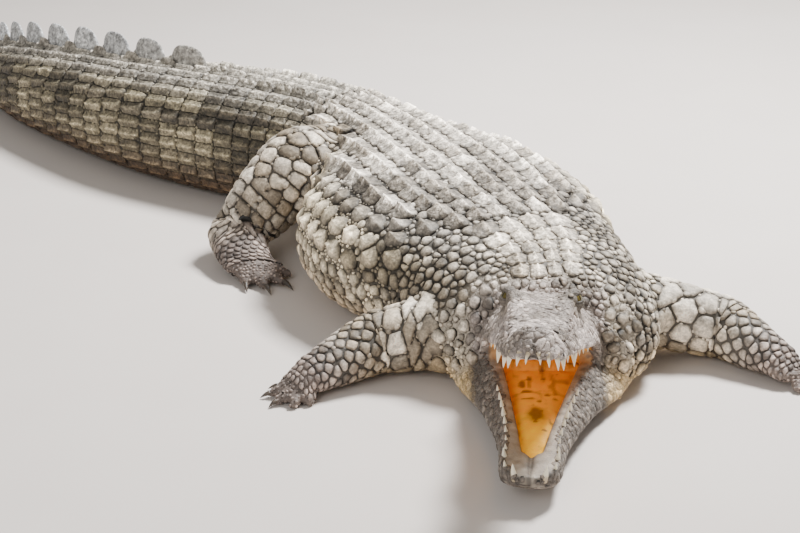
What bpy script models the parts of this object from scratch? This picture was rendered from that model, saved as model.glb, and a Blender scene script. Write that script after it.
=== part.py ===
"""A life-size Nile crocodile, still, lying on its belly with its mouth agape.

Metres, +Z up. The animal faces -Y, its left side is +X at the head, and its spine sweeps round to -X.
Flesh is lofted from sections along the spine and along each limb; the jaws are lofted from sections across
the head. Each named part ends GAP short of the next, and what grows out of the trunk is cut back to it.
"""

import math

import bmesh
import bpy
import numpy as np
from mathutils import Matrix, Vector

GAP = 0.0003
WIDE_GAP = 0.0008
SOLE_STEP = 0.0002
FLOOR = 0.0

# The nape, where skull meets neck, in plan: every other place is counted from it.
NAPE = np.array([0.5206, -0.9753, 0.0])

# The spine in plan: heading of the line from nape to tail tip, in degrees, at each distance along it.
HEADINGS = [(-0.15, 84), (0.0, 90), (0.12, 103), (0.3, 114), (0.65, 111), (0.95, 116), (1.15, 136),
            (1.35, 149), (1.55, 147), (1.8, 137), (2.1, 133), (2.5, 120), (3.05, 92)]
TAIL_TIP = 3.02
NECK_FRONT, NECK_END, TRUNK_END, TAIL_BASE_END, TAIL_MIDDLE_END = -0.035, 0.13, 1.08, 1.54, 2.3413

# Neck, trunk and tail: (distance from the nape, size) for each size of the cross-section.
HALF_WIDTH = [(-0.035, 0.165), (-0.015, 0.196), (0.02, 0.22), (0.06, 0.234), (0.13, 0.242), (0.25, 0.262),
              (0.4, 0.31), (0.53, 0.335), (0.65, 0.325), (0.76, 0.27), (0.86, 0.212), (0.95, 0.182),
              (1.05, 0.174), (1.2, 0.174), (1.5, 0.17), (1.8, 0.155), (2.2, 0.124), (2.5, 0.088),
              (2.8, 0.043), (2.95, 0.02), (3.02, 0.009)]
BACK_HEIGHT = [(-0.035, 0.19), (-0.015, 0.215), (0.02, 0.236), (0.06, 0.25), (0.13, 0.268), (0.25, 0.285),
               (0.42, 0.3), (0.6, 0.31), (0.8, 0.31), (1.0, 0.306), (1.2, 0.306), (1.45, 0.305),
               (1.6, 0.3), (1.8, 0.286), (2.2, 0.245), (2.5, 0.192), (2.8, 0.118), (2.95, 0.068),
               (3.02, 0.042)]
WAIST_SHARE = [(-0.035, 0.4), (0.1, 0.38), (0.3, 0.42), (0.6, 0.4), (1.0, 0.44), (1.5, 0.47), (2.2, 0.5),
               (3.02, 0.5)]
TOP_SQUARENESS = [(-0.035, 1.9), (0.0, 2.0), (0.1, 2.2), (0.25, 2.5), (0.6, 2.3), (1.1, 2.3), (1.6, 2.1),
                  (2.2, 1.8), (3.02, 1.8)]
BELLY_SQUARENESS = [(-0.035, 2.6), (0.2, 2.9), (0.6, 3.0), (1.1, 2.9), (1.8, 2.5), (3.02, 2.2)]
BELLY_PRESS = 0.004

# Tail crest: rounded upright blades along the crown. Each is CREST_PITCH long and CREST_HEIGHT tall.
CREST_START, CREST_END = 1.61, 2.96
CREST_PITCH = [(1.47, 0.14), (2.1, 0.132), (2.6, 0.085), (3.0, 0.045)]
CREST_HEIGHT = [(1.47, 0.032), (1.65, 0.048), (2.0, 0.057), (2.4, 0.052), (2.8, 0.036), (2.96, 0.018)]
BLADE_PROFILE = [(-0.46, -0.3), (-0.46, 0.3), (-0.3, 0.82), (0.02, 1.0), (0.3, 0.8), (0.46, 0.3),
                 (0.46, -0.3)]
BLADE_THICKNESS = 0.02

# The head. Its sizes are shares of HEAD, the length from the snout's tip to the back of the skull table.
HEAD = 0.5
JAW_JOINT = NAPE + np.array([-0.006, 0.022, 0.098])
JOINT_TO_TIP = 1.05
HEAD_HEADING = 263.6
UPPER_PITCH = 19.5
LOWER_PITCH = -3.6

# Upper head: (share of HEAD back from the snout's tip, share of HEAD).
SNOUT_WIDTH = [(0.0, 0.014), (0.008, 0.052), (0.03, 0.088), (0.065, 0.111), (0.105, 0.115), (0.165, 0.1),
               (0.24, 0.12), (0.33, 0.146), (0.42, 0.143), (0.5, 0.15), (0.6, 0.17), (0.7, 0.196),
               (0.8, 0.218), (0.9, 0.234), (1.0, 0.238), (1.06, 0.224)]
CROWN = [(0.0, 0.035), (0.02, 0.068), (0.06, 0.104), (0.1, 0.102), (0.16, 0.086), (0.3, 0.101),
         (0.45, 0.122), (0.56, 0.146), (0.64, 0.164), (0.7, 0.17), (0.78, 0.176), (0.9, 0.178),
         (1.0, 0.172), (1.06, 0.15)]
BROW = [(0.0, 0.03), (0.02, 0.06), (0.06, 0.094), (0.1, 0.09), (0.16, 0.074), (0.3, 0.088), (0.45, 0.108),
        (0.56, 0.136), (0.635, 0.168), (0.68, 0.197), (0.73, 0.2), (0.785, 0.182), (0.9, 0.18),
        (1.0, 0.174), (1.06, 0.145)]
BROW_OUT = [(0.0, 0.5), (0.1, 0.56), (0.3, 0.58), (0.5, 0.56), (0.62, 0.58), (0.7, 0.6), (0.78, 0.5),
            (0.9, 0.46), (1.0, 0.46), (1.06, 0.46)]
CHEEK_OUT = [(0.0, 0.9), (0.1, 0.93), (0.3, 0.93), (0.5, 0.88), (0.65, 0.84), (0.75, 0.84), (0.9, 0.88),
             (1.06, 0.92)]
CHEEK_UP = [(0.0, 0.45), (0.3, 0.44), (0.55, 0.42), (0.7, 0.4), (0.9, 0.42), (1.06, 0.45)]
LIP_THICKNESS = 0.014
PALATE = [(0.0, 0.004), (0.1, 0.016), (0.5, 0.018), (0.85, 0.014), (1.06, 0.004)]
# The cheeks: how far the flesh behind the last tooth hangs to meet the lower jaw.
CHEEK_DROP = [(0.0, 0.0), (0.83, 0.0), (0.87, 0.05), (0.91, 0.086), (0.96, 0.066), (1.06, 0.03)]

# Lower jaw: (share of HEAD back from the jaw's tip, share of HEAD).
JAW_WIDTH = [(0.0, 0.012), (0.008, 0.042), (0.03, 0.073), (0.07, 0.096), (0.12, 0.103), (0.2, 0.1),
             (0.3, 0.106), (0.42, 0.122), (0.54, 0.142), (0.66, 0.165), (0.78, 0.191), (0.9, 0.218),
             (1.0, 0.236), (1.045, 0.24)]
JAW_FLARE = [(0.0, 0.004), (0.1, 0.012), (0.25, 0.022), (0.5, 0.046), (0.7, 0.076), (0.8, 0.102),
             (0.9, 0.118), (1.0, 0.125), (1.045, 0.12)]
JAW_DEPTH = [(0.0, 0.03), (0.02, 0.052), (0.08, 0.078), (0.2, 0.088), (0.4, 0.104), (0.6, 0.13),
             (0.8, 0.168), (1.0, 0.19), (1.045, 0.19)]
GUM_WIDTH = [(0.0, 0.4), (0.04, 0.62), (0.12, 0.6), (0.2, 0.5), (0.4, 0.36), (0.6, 0.27), (0.8, 0.22),
             (1.045, 0.2)]
FLOOR_DROP = [(0.0, 0.006), (0.1, 0.014), (0.2, 0.03), (0.4, 0.05), (0.7, 0.07), (0.9, 0.07),
              (1.045, 0.05)]
JAW_BACK = 1.04

EYE_BACK, EYE_OUT, EYE_UP, EYE_RADIUS = 0.7, 0.118, 0.168, 0.017
# Tooth lengths in metres, snout tip to cheek.
UPPER_TEETH = [(0.014, 0.013), (0.038, 0.018), (0.075, 0.019), (0.115, 0.01), (0.2, 0.009), (0.25, 0.013),
               (0.32, 0.022), (0.375, 0.013), (0.435, 0.011), (0.495, 0.015), (0.555, 0.012),
               (0.615, 0.01), (0.675, 0.009)]
LOWER_TEETH = [(0.022, 0.021), (0.07, 0.014), (0.135, 0.028), (0.19, 0.011), (0.25, 0.011), (0.31, 0.013),
               (0.37, 0.016), (0.43, 0.019), (0.49, 0.017), (0.55, 0.014), (0.61, 0.012)]
TOOTH_SLIMNESS = 0.27

# Limbs: joints from the nape (along X, along Y, height): shoulder, elbow, wrist and knuckles, or hip, knee,
# ankle and knuckles. The heading is the foot's. Radii are (bones from the root, across, up).
LIMBS = {
    "front_right": {
        "joints": [(-0.105, 0.062, 0.113), (-0.332, 0.07, 0.068), (-0.455, -0.022, 0.04),
                   (-0.492, -0.046, 0.024)],
        "heading": 222},
    "front_left": {
        "joints": [(0.165, 0.18, 0.104), (0.37, 0.15, 0.066), (0.46, 0.048, 0.04), (0.487, 0.014, 0.024)],
        "heading": -52},
    "hind_right": {
        "joints": [(-0.33, 0.946, 0.16), (-0.52, 0.772, 0.2), (-0.665, 0.7, 0.058), (-0.622, 0.57, 0.03)],
        "heading": -54},
    "hind_left": {
        "joints": [(-0.3, 0.95, 0.14), (-0.135, 0.93, 0.148), (0.035, 1.06, 0.056), (0.088, 0.945, 0.03)],
        "heading": -60},
}
FRONT_RADII = [(0.0, 0.07, 0.076), (0.5, 0.066, 0.072), (0.9, 0.062, 0.066), (1.0, 0.062, 0.064),
               (1.2, 0.061, 0.06), (1.7, 0.05, 0.048), (2.0, 0.045, 0.037), (2.5, 0.043, 0.028),
               (3.0, 0.038, 0.019)]
HIND_RADII = [(0.0, 0.085, 0.095), (0.5, 0.088, 0.092), (0.9, 0.088, 0.092), (1.0, 0.087, 0.092),
              (1.25, 0.085, 0.09), (1.6, 0.076, 0.08), (2.0, 0.062, 0.056), (2.5, 0.064, 0.038),
              (3.0, 0.056, 0.023)]
# Digits: (fan angle from the foot's heading, length, has a claw).
FRONT_DIGITS = [(-50, 0.034, True), (-25, 0.044, True), (2, 0.048, True), (27, 0.044, False),
                (49, 0.034, False)]
HIND_DIGITS = [(-25, 0.085, True), (-9, 0.115, True), (8, 0.12, True), (26, 0.1, False)]
DIGIT_RADIUS = {"front": 0.0125, "hind": 0.017}
CLAW_LENGTH = {"front": 0.02, "hind": 0.03}

RING_BODY, RING_JAW, RING_LIMB, RING_DIGIT = 24, 22, 10, 6


def ease(x, knots):
    """A smooth curve through the knots, a list of (x, y), that never swings past them."""
    xs, ys = np.array(knots, float).T
    x = np.asarray(x, float)
    slopes = np.diff(ys) / np.diff(xs)
    steps = slopes[:-1] * slopes[1:]
    inner = np.where(steps > 0, 2 * steps / np.where(steps > 0, slopes[:-1] + slopes[1:], 1), 0)
    tangents = np.concatenate([slopes[:1], inner, slopes[-1:]])
    i = np.clip(np.searchsorted(xs, x) - 1, 0, len(xs) - 2)
    width = xs[i + 1] - xs[i]
    t = np.clip((x - xs[i]) / width, 0, 1)
    return (ys[i] * (1 + 2 * t) * (1 - t) ** 2 + ys[i + 1] * t * t * (3 - 2 * t)
            + width * t * (1 - t) * (tangents[i] * (1 - t) - tangents[i + 1] * t))


def unit(vectors):
    return vectors / np.linalg.norm(vectors, axis=-1, keepdims=True)


def spine_line():
    """Distances along the spine and the points there, from adding up the heading in short steps."""
    s = np.linspace(-0.15, TAIL_TIP, 635)
    angle = np.radians(ease(s, HEADINGS))
    step = np.column_stack([np.cos(angle), np.sin(angle), np.zeros_like(s)]) * (s[1] - s[0])
    line = np.cumsum(step, axis=0)
    at_nape = np.array([np.interp(0, s, line[:, k]) for k in range(3)])
    return s, line - at_nape + NAPE


SPINE_S, SPINE = spine_line()


def spine_at(s):
    """Point, direction towards the tail and direction to the animal's left at distances s."""
    s = np.asarray(s, float)
    point = np.stack([np.interp(s, SPINE_S, SPINE[:, k]) for k in range(3)], axis=-1)
    angle = np.radians(ease(s, HEADINGS))
    back = np.stack([np.cos(angle), np.sin(angle), 0 * angle], axis=-1)
    left = np.stack([np.sin(angle), -np.cos(angle), 0 * angle], axis=-1)
    return point, back, left


def body_ring(s, count, grow=0.0):
    """Points round the body at distance s: an oval with a flat belly, its width, crown and squareness eased
    between the stations. The ring starts at the crown and goes down the left side."""
    around = np.linspace(0, 2 * math.pi, count, endpoint=False)
    point, _, left = spine_at(s)
    high = float(ease(s, BACK_HEIGHT))
    half = float(ease(s, HALF_WIDTH)) + grow
    waist = high * float(ease(s, WAIST_SHARE))
    over = np.cos(around) >= 0
    square = np.where(over, float(ease(s, TOP_SQUARENESS)), float(ease(s, BELLY_SQUARENESS)))
    out = np.sign(np.sin(around)) * np.abs(np.sin(around)) ** (2 / square)
    up = np.abs(np.cos(around)) ** (2 / square)
    # A round belly would meet the floor on a line: its lowest BELLY_PRESS is pressed flat.
    height = np.where(over, waist + (high + grow - waist) * up, waist - (waist + BELLY_PRESS) * up)
    height = np.maximum(height, FLOOR - grow)
    return point + half * out[:, None] * left + np.column_stack([0 * out, 0 * out, height])


def closed_curve(points, count):
    """Evenly counted points on the smooth closed curve through each row of control points."""
    rows, n, _ = points.shape
    t = np.arange(count) * n / count
    i, f = t.astype(int), (t % 1)[None, :, None]
    a, b, c, d = (points[:, (i + k) % n] for k in (-1, 0, 1, 2))
    return 0.5 * (2 * b + (c - a) * f + (2 * a - 5 * b + 4 * c - d) * f**2 + (3 * b - a - 3 * c + d) * f**3)


def head_axes(pitch):
    """Forward, left and up of a jaw that is raised by pitch degrees."""
    heading, pitch = math.radians(HEAD_HEADING), math.radians(pitch)
    level = math.cos(pitch)
    forward = np.array([math.cos(heading) * level, math.sin(heading) * level, math.sin(pitch)])
    left = np.array([-math.sin(heading), math.cos(heading), 0.0])
    return forward, left, np.cross(forward, left)


def head_point(pitch, back, out, up):
    """A place in a jaw's own measure, all shares of HEAD: back from its tip, out to the left and up."""
    forward, left, top = head_axes(pitch)
    back, out, up = (np.asarray(v, float)[..., None] * HEAD for v in (back, out, up))
    return JAW_JOINT + forward * (JOINT_TO_TIP * HEAD - back) + left * out + top * up


def mirrored_rings(half, back, pitch, count):
    """Rings from half sections of (out, up) points, crown to keel, mirrored to the right side."""
    whole = [*half, *((-out, up) for out, up in half[-2:0:-1])]
    control = np.stack([head_point(pitch, back, out, up) for out, up in whole], axis=1)
    return closed_curve(control, count)


def upper_rings(back, count):
    """Sections of the upper head: crown, brow or skull-table edge, cheek, lip and palate."""
    wide, crown, brow = ease(back, SNOUT_WIDTH), ease(back, CROWN), ease(back, BROW)
    drop = ease(back, CHEEK_DROP)
    lip, palate = LIP_THICKNESS - drop, ease(back, PALATE) - drop
    half = [(0 * wide, crown), (wide * ease(back, BROW_OUT), brow),
            (wide * (ease(back, BROW_OUT) + ease(back, CHEEK_OUT)) / 2,
             brow * (1 + ease(back, CHEEK_UP)) / 2),
            (wide * ease(back, CHEEK_OUT), brow * ease(back, CHEEK_UP)), (wide, lip),
            (wide * 0.95, lip - 1.1 * LIP_THICKNESS), (wide * 0.78, palate - 0.008),
            (wide * 0.4, palate), (0 * wide, palate)]
    return mirrored_rings(half, back, UPPER_PITCH, count)


def lower_rings(back, count):
    """Sections of the lower jaw: mouth floor, gum, tooth edge, flared side and chin."""
    wide, flare, deep = ease(back, JAW_WIDTH), ease(back, JAW_FLARE), ease(back, JAW_DEPTH)
    inner, drop = wide * (1 - ease(back, GUM_WIDTH)), ease(back, FLOOR_DROP)
    half = [(0 * wide, -drop), (inner * 0.6, -drop), (inner, -drop * 0.8),
            (inner * 0.55 + wide * 0.45, -drop * 0.12), (wide * 0.94, 0 * wide),
            (wide + flare * 0.25, -deep * 0.2), (wide + flare * 0.8, -deep * 0.5),
            (wide * 0.9 + flare, -deep * 0.82), (wide * 0.5, -deep), (0 * wide, -deep * 1.02)]
    return mirrored_rings(half, back, LOWER_PITCH, count)


def limb_line(limb):
    """The limb's joints in space."""
    return np.array(limb["joints"]) + NAPE


def bone_rings(joints, bone, radii, start, end, count):
    """Ovals along one straight bone, at start to end counted in bones from the limb's root, then a dome."""
    t = np.linspace(start, end, 5)
    # A lower bone starts slimmer, inside the dome of the one above.
    tuck = np.array([0.86 if bone else 1.0, 0.97 if bone else 1.0, 1, 1, 1])
    span = joints[bone + 1] - joints[bone]
    along = unit(span)
    side = unit(np.cross(along, [0, 0, 1.0]))
    across, thick = (ease(t, [(row[0], row[k]) for row in radii]) * tuck for k in (1, 2))
    turn = np.radians([40, 78])
    over = np.concatenate([0 * t, np.sin(turn) * min(across[-1], thick[-1]) * (0.5 if bone == 2 else 0.95)])
    shrink = np.concatenate([0 * t + 1, np.cos(turn)])
    keep = np.array([0, 1, 2, 3, 4, 4, 4])
    centre = joints[bone] + span * (t[keep] - bone)[:, None] + along * over[:, None]
    around = np.linspace(0, 2 * math.pi, count, endpoint=False)
    out = np.cos(around)[None, :, None] * (side * (across[keep] * shrink)[:, None])[:, None]
    up = np.sin(around)[None, :, None] * (np.cross(side, along) * (thick[keep] * shrink)[:, None])[:, None]
    return centre[:, None] + out + up


def loft(name, rings, cap=True):
    """A closed mesh through the rings, faces out, with a flat cap at each end."""
    rows, count, _ = rings.shape
    index = np.arange(rows * count).reshape(rows, count)
    beside = np.roll(index, -1, axis=1)
    quads = np.stack([index[:-1], beside[:-1], beside[1:], index[1:]], axis=-1).reshape(-1, 4)
    faces = quads.tolist() + ([index[0, ::-1].tolist(), index[-1].tolist()] if cap else [])
    mesh = bpy.data.meshes.new(name)
    mesh.from_pydata(rings.reshape(-1, 3).tolist(), [], faces)
    made = bmesh.new()
    made.from_mesh(mesh)
    bmesh.ops.recalc_face_normals(made, faces=made.faces)
    if made.calc_volume(signed=True) < 0:
        bmesh.ops.reverse_faces(made, faces=made.faces)
    made.to_mesh(mesh)
    made.free()
    return bpy.data.objects.new(name, mesh)


def on_floor(rings, sole=0.0):
    """The rings with whatever would be under the floor pressed flat on it."""
    flat = rings.copy()
    flat[..., 2] = np.maximum(flat[..., 2], FLOOR + sole)
    return flat


def material(name, colour, roughness):
    made = bpy.data.materials.new(name)
    made.use_nodes = True
    shader = made.node_tree.nodes["Principled BSDF"]
    shader.inputs["Base Color"].default_value = (*colour, 1)
    shader.inputs["Roughness"].default_value = roughness
    return made


def finish(obj, collection, look, smooth=35):
    """Puts the object in its collection with its material, shaded smooth but for its sharp edges."""
    collection.objects.link(obj)
    obj.data.materials.clear()
    obj.data.materials.append(look)
    obj.data.shade_smooth()
    obj.data.set_sharp_from_angle(angle=math.radians(smooth))
    return obj


def combine(obj, other, operation):
    """Cuts other from obj, or joins it to obj, and keeps the result as obj's own mesh."""
    bpy.context.scene.collection.objects.link(other)
    linked = obj.name in bpy.context.scene.collection.all_objects
    if not linked:
        bpy.context.scene.collection.objects.link(obj)
    step = obj.modifiers.new(operation.lower(), "BOOLEAN")
    step.operation, step.object, step.solver = operation, other, "EXACT"
    graph = bpy.context.evaluated_depsgraph_get()
    mesh = bpy.data.meshes.new_from_object(obj.evaluated_get(graph))
    obj.modifiers.remove(step)
    obj.data = mesh
    if not linked:
        bpy.context.scene.collection.objects.unlink(obj)
    bpy.data.objects.remove(other)
    return obj


def body_part(name, start, end, spacing, count=RING_BODY):
    """A length of the neck, trunk or tail between two flat cuts."""
    stations = np.linspace(start, end, max(2, round((end - start) / spacing) + 1))
    return loft(name, np.stack([body_ring(s, count) for s in stations]))


def body_cutter(start, end, spacing, count=RING_BODY):
    """The same length, WIDE_GAP fatter and longer, to cut its neighbours back by."""
    stations = np.linspace(start, end, max(2, round((end - start) / spacing) + 1))
    stations[0] -= WIDE_GAP
    stations[-1] += WIDE_GAP
    rings = np.stack([body_ring(s, count, WIDE_GAP) for s in stations])
    return loft("cutter", rings)


def swollen(obj, by):
    """A copy of the object with every face moved out by that much."""
    mesh = obj.data.copy()
    made = bmesh.new()
    made.from_mesh(mesh)
    made.normal_update()
    for vert in made.verts:
        vert.co += vert.normal * by * vert.calc_shell_factor()
    made.to_mesh(mesh)
    made.free()
    return bpy.data.objects.new("cutter", mesh)


def cone_mesh(made, base, tip, radius, sides):
    """Adds a pointed cone from base to tip."""
    axis = Vector(tip) - Vector(base)
    turn = axis.to_track_quat("Z", "Y").to_matrix().to_4x4()
    place = Matrix.Translation((Vector(base) + Vector(tip)) / 2) @ turn
    bmesh.ops.create_cone(made, cap_ends=True, segments=sides, radius1=radius, radius2=radius * 0.12,
                          depth=axis.length, matrix=place)


def teeth(name, rows, widths, pitch, down):
    """Both sides' teeth of one jaw as one mesh of cones, rooted in the gum and leaning a little out."""
    made = bmesh.new()
    root = 0.012
    for back, length in rows:
        out = float(ease(back, widths)) - 0.016
        for side in (-1, 1):
            base = head_point(pitch, back, side * (out - 0.004), down * -root / HEAD)
            tip = head_point(pitch, back - 0.006, side * (out + 0.006), down * length / HEAD)
            cone_mesh(made, base, tip, (length + root) * TOOTH_SLIMNESS * 0.72, 5)
    mesh = bpy.data.meshes.new(name)
    made.to_mesh(mesh)
    made.free()
    return bpy.data.objects.new(name, mesh)


def blade(made, s, length, height):
    """Adds one crest blade: a plate with a rounded top, thinner towards its edge, sunk in the tail."""
    point, back, left = spine_at(s)
    crown = float(ease(s, BACK_HEIGHT))
    sides = []
    for side in (-1, 1):
        ring = []
        for along, up in BLADE_PROFILE:
            thick = BLADE_THICKNESS * (0.5 if up < 0.5 else 0.2)
            place = point + back * along * length + left * side * thick
            ring.append(made.verts.new(Vector(place + np.array([0, 0, crown + up * height]))))
        sides.append(ring)
    right_side, left_side = sides
    made.faces.new(right_side)
    made.faces.new(left_side[::-1])
    for a in range(len(BLADE_PROFILE)):
        b = (a + 1) % len(BLADE_PROFILE)
        made.faces.new((right_side[b], right_side[a], left_side[a], left_side[b]))


def crest(start, end):
    """The crest blades that stand on one length of the tail, as one mesh."""
    made = bmesh.new()
    s = CREST_START
    while s < CREST_END:
        length = float(ease(s, CREST_PITCH))
        if start + length / 2 < s < end - length / 2:
            blade(made, s, length, float(ease(s, CREST_HEIGHT)))
        s += length
    bmesh.ops.recalc_face_normals(made, faces=made.faces)
    mesh = bpy.data.meshes.new("crest")
    made.to_mesh(mesh)
    made.free()
    return bpy.data.objects.new("crest", mesh)


def limb_parts(name, looks, collection, trunk_cutters):
    """Upper part, lower part, foot and claws of one limb, each cut back to the trunk and the part above."""
    limb = LIMBS[name]
    front = name.startswith("front")
    radii = FRONT_RADII if front else HIND_RADII
    joints = limb_line(limb)
    names = ("upper_arm", "forearm", "hand") if front else ("thigh", "shank", "foot")
    side = name.split("_")[1]
    above = None
    spans = [(0.0, 1.0), (1.0, 2.0), (1.98 if front else 1.84, 3.0)]
    for bone, (part, (start, end)) in enumerate(zip(names, spans)):
        solid = loft(f"{part}_{side}", on_floor(bone_rings(joints, bone, radii, start, end, RING_LIMB)))
        cutters = trunk_cutters() + ([above] if above else [])
        above = swollen(solid, WIDE_GAP)
        if bone == 2:
            digits(solid, joints, limb["heading"], front, side, looks, collection)
        for cutter in cutters:
            combine(solid, cutter, "DIFFERENCE")
        finish(solid, collection, looks["skin"])
    bpy.data.objects.remove(above)


def digits(foot, joints, heading, front, side, looks, collection):
    """The toes, joined to the foot, and a claw before each of the first three."""
    kind = "front" if front else "hind"
    fan = FRONT_DIGITS if front else HIND_DIGITS
    radius = DIGIT_RADIUS[kind]
    mirror = 1 if side == "right" else -1
    start = joints[-2] * 0.35 + joints[-1] * 0.65
    for number, (angle, length, clawed) in enumerate(fan, 1):
        turn = math.radians(heading + mirror * angle)
        ahead = np.array([math.cos(turn), math.sin(turn), 0.0])
        across = np.array([-math.sin(turn), math.cos(turn), 0.0])
        share = np.array([0.0, 0.5, 1.0])
        reach = 0.014 + share * length
        knuckle = np.array([start[2] - 0.0015 + 0.0007 * number, radius * 1.35, radius * 0.75])
        plan = start[:2] + reach[:, None] * ahead[:2] + across[:2] * angle / 2600
        centre = np.column_stack([plan, knuckle])
        girth = radius * np.array([1.0, 1.02, 0.62])
        around = np.linspace(0, 2 * math.pi, RING_DIGIT, endpoint=False) + math.pi / RING_DIGIT
        rings = (centre[:, None] + np.cos(around)[None, :, None] * girth[:, None, None] * across
                 + np.sin(around)[None, :, None] * girth[:, None, None] * np.array([0, 0, 1.0]))
        # Soles a hair apart in height keep two flats from meeting in one plane.
        combine(foot, loft("digit", on_floor(rings, SOLE_STEP * number)), "UNION")
        if not clawed:
            continue
        made = bmesh.new()
        nail = CLAW_LENGTH[kind]
        base = rings[-1].mean(0) + ahead * GAP
        tip = base + ahead * nail + np.array([0, 0, -base[2] + 0.002])
        axis = Vector(ahead)
        turned = axis.to_track_quat("Z", "Y").to_matrix().to_4x4()
        place = Matrix.Translation(Vector(base + ahead * nail / 2)) @ turned
        bmesh.ops.create_cone(made, cap_ends=True, segments=6, radius1=radius * 0.42, radius2=radius * 0.07,
                              depth=nail, matrix=place)
        for vert in made.verts:
            past = (Vector(vert.co) - Vector(base)).dot(axis) / nail
            vert.co.z += (tip[2] - base[2]) * 0.8 * past**2
        mesh = bpy.data.meshes.new("claw")
        made.to_mesh(mesh)
        made.free()
        claw = bpy.data.objects.new(f"claw_{kind}_{side}_{number}", mesh)
        finish(claw, collection, looks["horn"])


def eye(name, side, looks, collection):
    """One eyeball, sunk in the brow, and the solid to cut its socket."""
    balls = []
    place = Matrix.Translation(Vector(head_point(UPPER_PITCH, EYE_BACK, side * EYE_OUT, EYE_UP)))
    for grow in (0.0, GAP):
        made = bmesh.new()
        bmesh.ops.create_uvsphere(made, u_segments=10, v_segments=7, radius=EYE_RADIUS + grow, matrix=place)
        mesh = bpy.data.meshes.new(name)
        made.to_mesh(mesh)
        made.free()
        balls.append(bpy.data.objects.new(name, mesh))
    finish(balls[0], collection, looks["eye"])
    return balls[1]


def tongue_rings(grow):
    """The tongue: a low broad pad on the mouth floor, from behind the chin to the throat."""
    back = np.linspace(0.24, 0.86, 7)
    wide = ease(back, JAW_WIDTH) * (1 - ease(back, GUM_WIDTH)) * 0.84
    drop = ease(back, FLOOR_DROP)
    swell = 0.026 * np.sin(np.pi * np.clip((back - 0.2) / 0.72, 0, 1)) ** 0.5
    half = [(0 * wide, swell - drop + 0.004), (wide * 0.6, swell * 0.85 - drop + 0.004),
            (wide, -drop * 0.9 + grow), (wide * 0.7, -drop - 0.004), (0 * wide, -drop - 0.006)]
    return mirrored_rings(half, back, LOWER_PITCH, 12)


def head_parts(looks, collection):
    """Upper head with its teeth, eyes, lower jaw with its teeth, and tongue."""
    def neck_cutter():
        return body_cutter(NECK_FRONT, NECK_END, 0.035)

    back = np.array([0.002, 0.012, 0.035, 0.07, 0.11, 0.165, 0.24, 0.33, 0.42, 0.52, 0.6, 0.65, 0.7, 0.74,
                     0.79, 0.84, 0.88, 0.92, 1.0])
    upper = loft("head", upper_rings(back, RING_JAW))
    combine(upper, teeth("teeth", UPPER_TEETH, SNOUT_WIDTH, UPPER_PITCH, -1), "UNION")
    for name, side in (("eye_right", -1), ("eye_left", 1)):
        combine(upper, eye(name, side, looks, collection), "DIFFERENCE")
    combine(upper, neck_cutter(), "DIFFERENCE")

    back = np.array([0.002, 0.012, 0.035, 0.075, 0.12, 0.19, 0.28, 0.38, 0.49, 0.6, 0.7, 0.8, 0.9,
                     JAW_BACK])
    lower = loft("lower_jaw", on_floor(lower_rings(back, RING_JAW)))
    combine(lower, teeth("teeth", LOWER_TEETH, JAW_WIDTH, LOWER_PITCH, 1), "UNION")
    combine(lower, neck_cutter(), "DIFFERENCE")
    combine(lower, swollen(upper, WIDE_GAP), "DIFFERENCE")

    tongue = loft("tongue", tongue_rings(0.0))
    combine(tongue, neck_cutter(), "DIFFERENCE")
    combine(tongue, swollen(lower, WIDE_GAP), "DIFFERENCE")
    combine(tongue, swollen(upper, WIDE_GAP), "DIFFERENCE")
    finish(upper, collection, looks["skin"])
    finish(lower, collection, looks["skin"])
    finish(tongue, collection, looks["mouth"])


def main():
    for old in list(bpy.data.objects):
        bpy.data.objects.remove(old)
    collection = bpy.data.collections.new("crocodile")
    bpy.context.scene.collection.children.link(collection)
    looks = {
        "skin": material("scaly_hide", (0.36, 0.35, 0.31), 0.75),
        "horn": material("claw_horn", (0.09, 0.08, 0.07), 0.4),
        "eye": material("eye", (0.35, 0.3, 0.12), 0.15),
        "mouth": material("mouth_lining", (0.78, 0.4, 0.07), 0.35),
    }
    neck = body_part("neck", NECK_FRONT, NECK_END - GAP, 0.035)
    trunk = body_part("trunk", NECK_END, TRUNK_END - GAP, 0.06)
    finish(neck, collection, looks["skin"])
    finish(trunk, collection, looks["skin"])
    tail_lengths = [("tail_base", TRUNK_END, TAIL_BASE_END),
                    ("tail_middle", TAIL_BASE_END, TAIL_MIDDLE_END),
                    ("tail_tip", TAIL_MIDDLE_END, TAIL_TIP + GAP)]
    for name, start, end in tail_lengths:
        length = body_part(name, start, end - GAP, 0.08, 18)
        combine(length, crest(start, end), "UNION")
        finish(length, collection, looks["skin"])

    def trunk_cutters():
        return [body_cutter(NECK_FRONT, NECK_END, 0.035), body_cutter(NECK_END, TRUNK_END, 0.06),
                body_cutter(TRUNK_END, TAIL_BASE_END, 0.08, 18)]

    for name in LIMBS:
        limb_parts(name, looks, collection, trunk_cutters)
    head_parts(looks, collection)


main()
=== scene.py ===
"""A still, life-size Nile crocodile: one skin, a coat of horny scales over it, teeth, claws, eyes and tongue."""

import math

import bpy
import numpy as np
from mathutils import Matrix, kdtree
from mathutils.bvhtree import BVHTree


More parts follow.
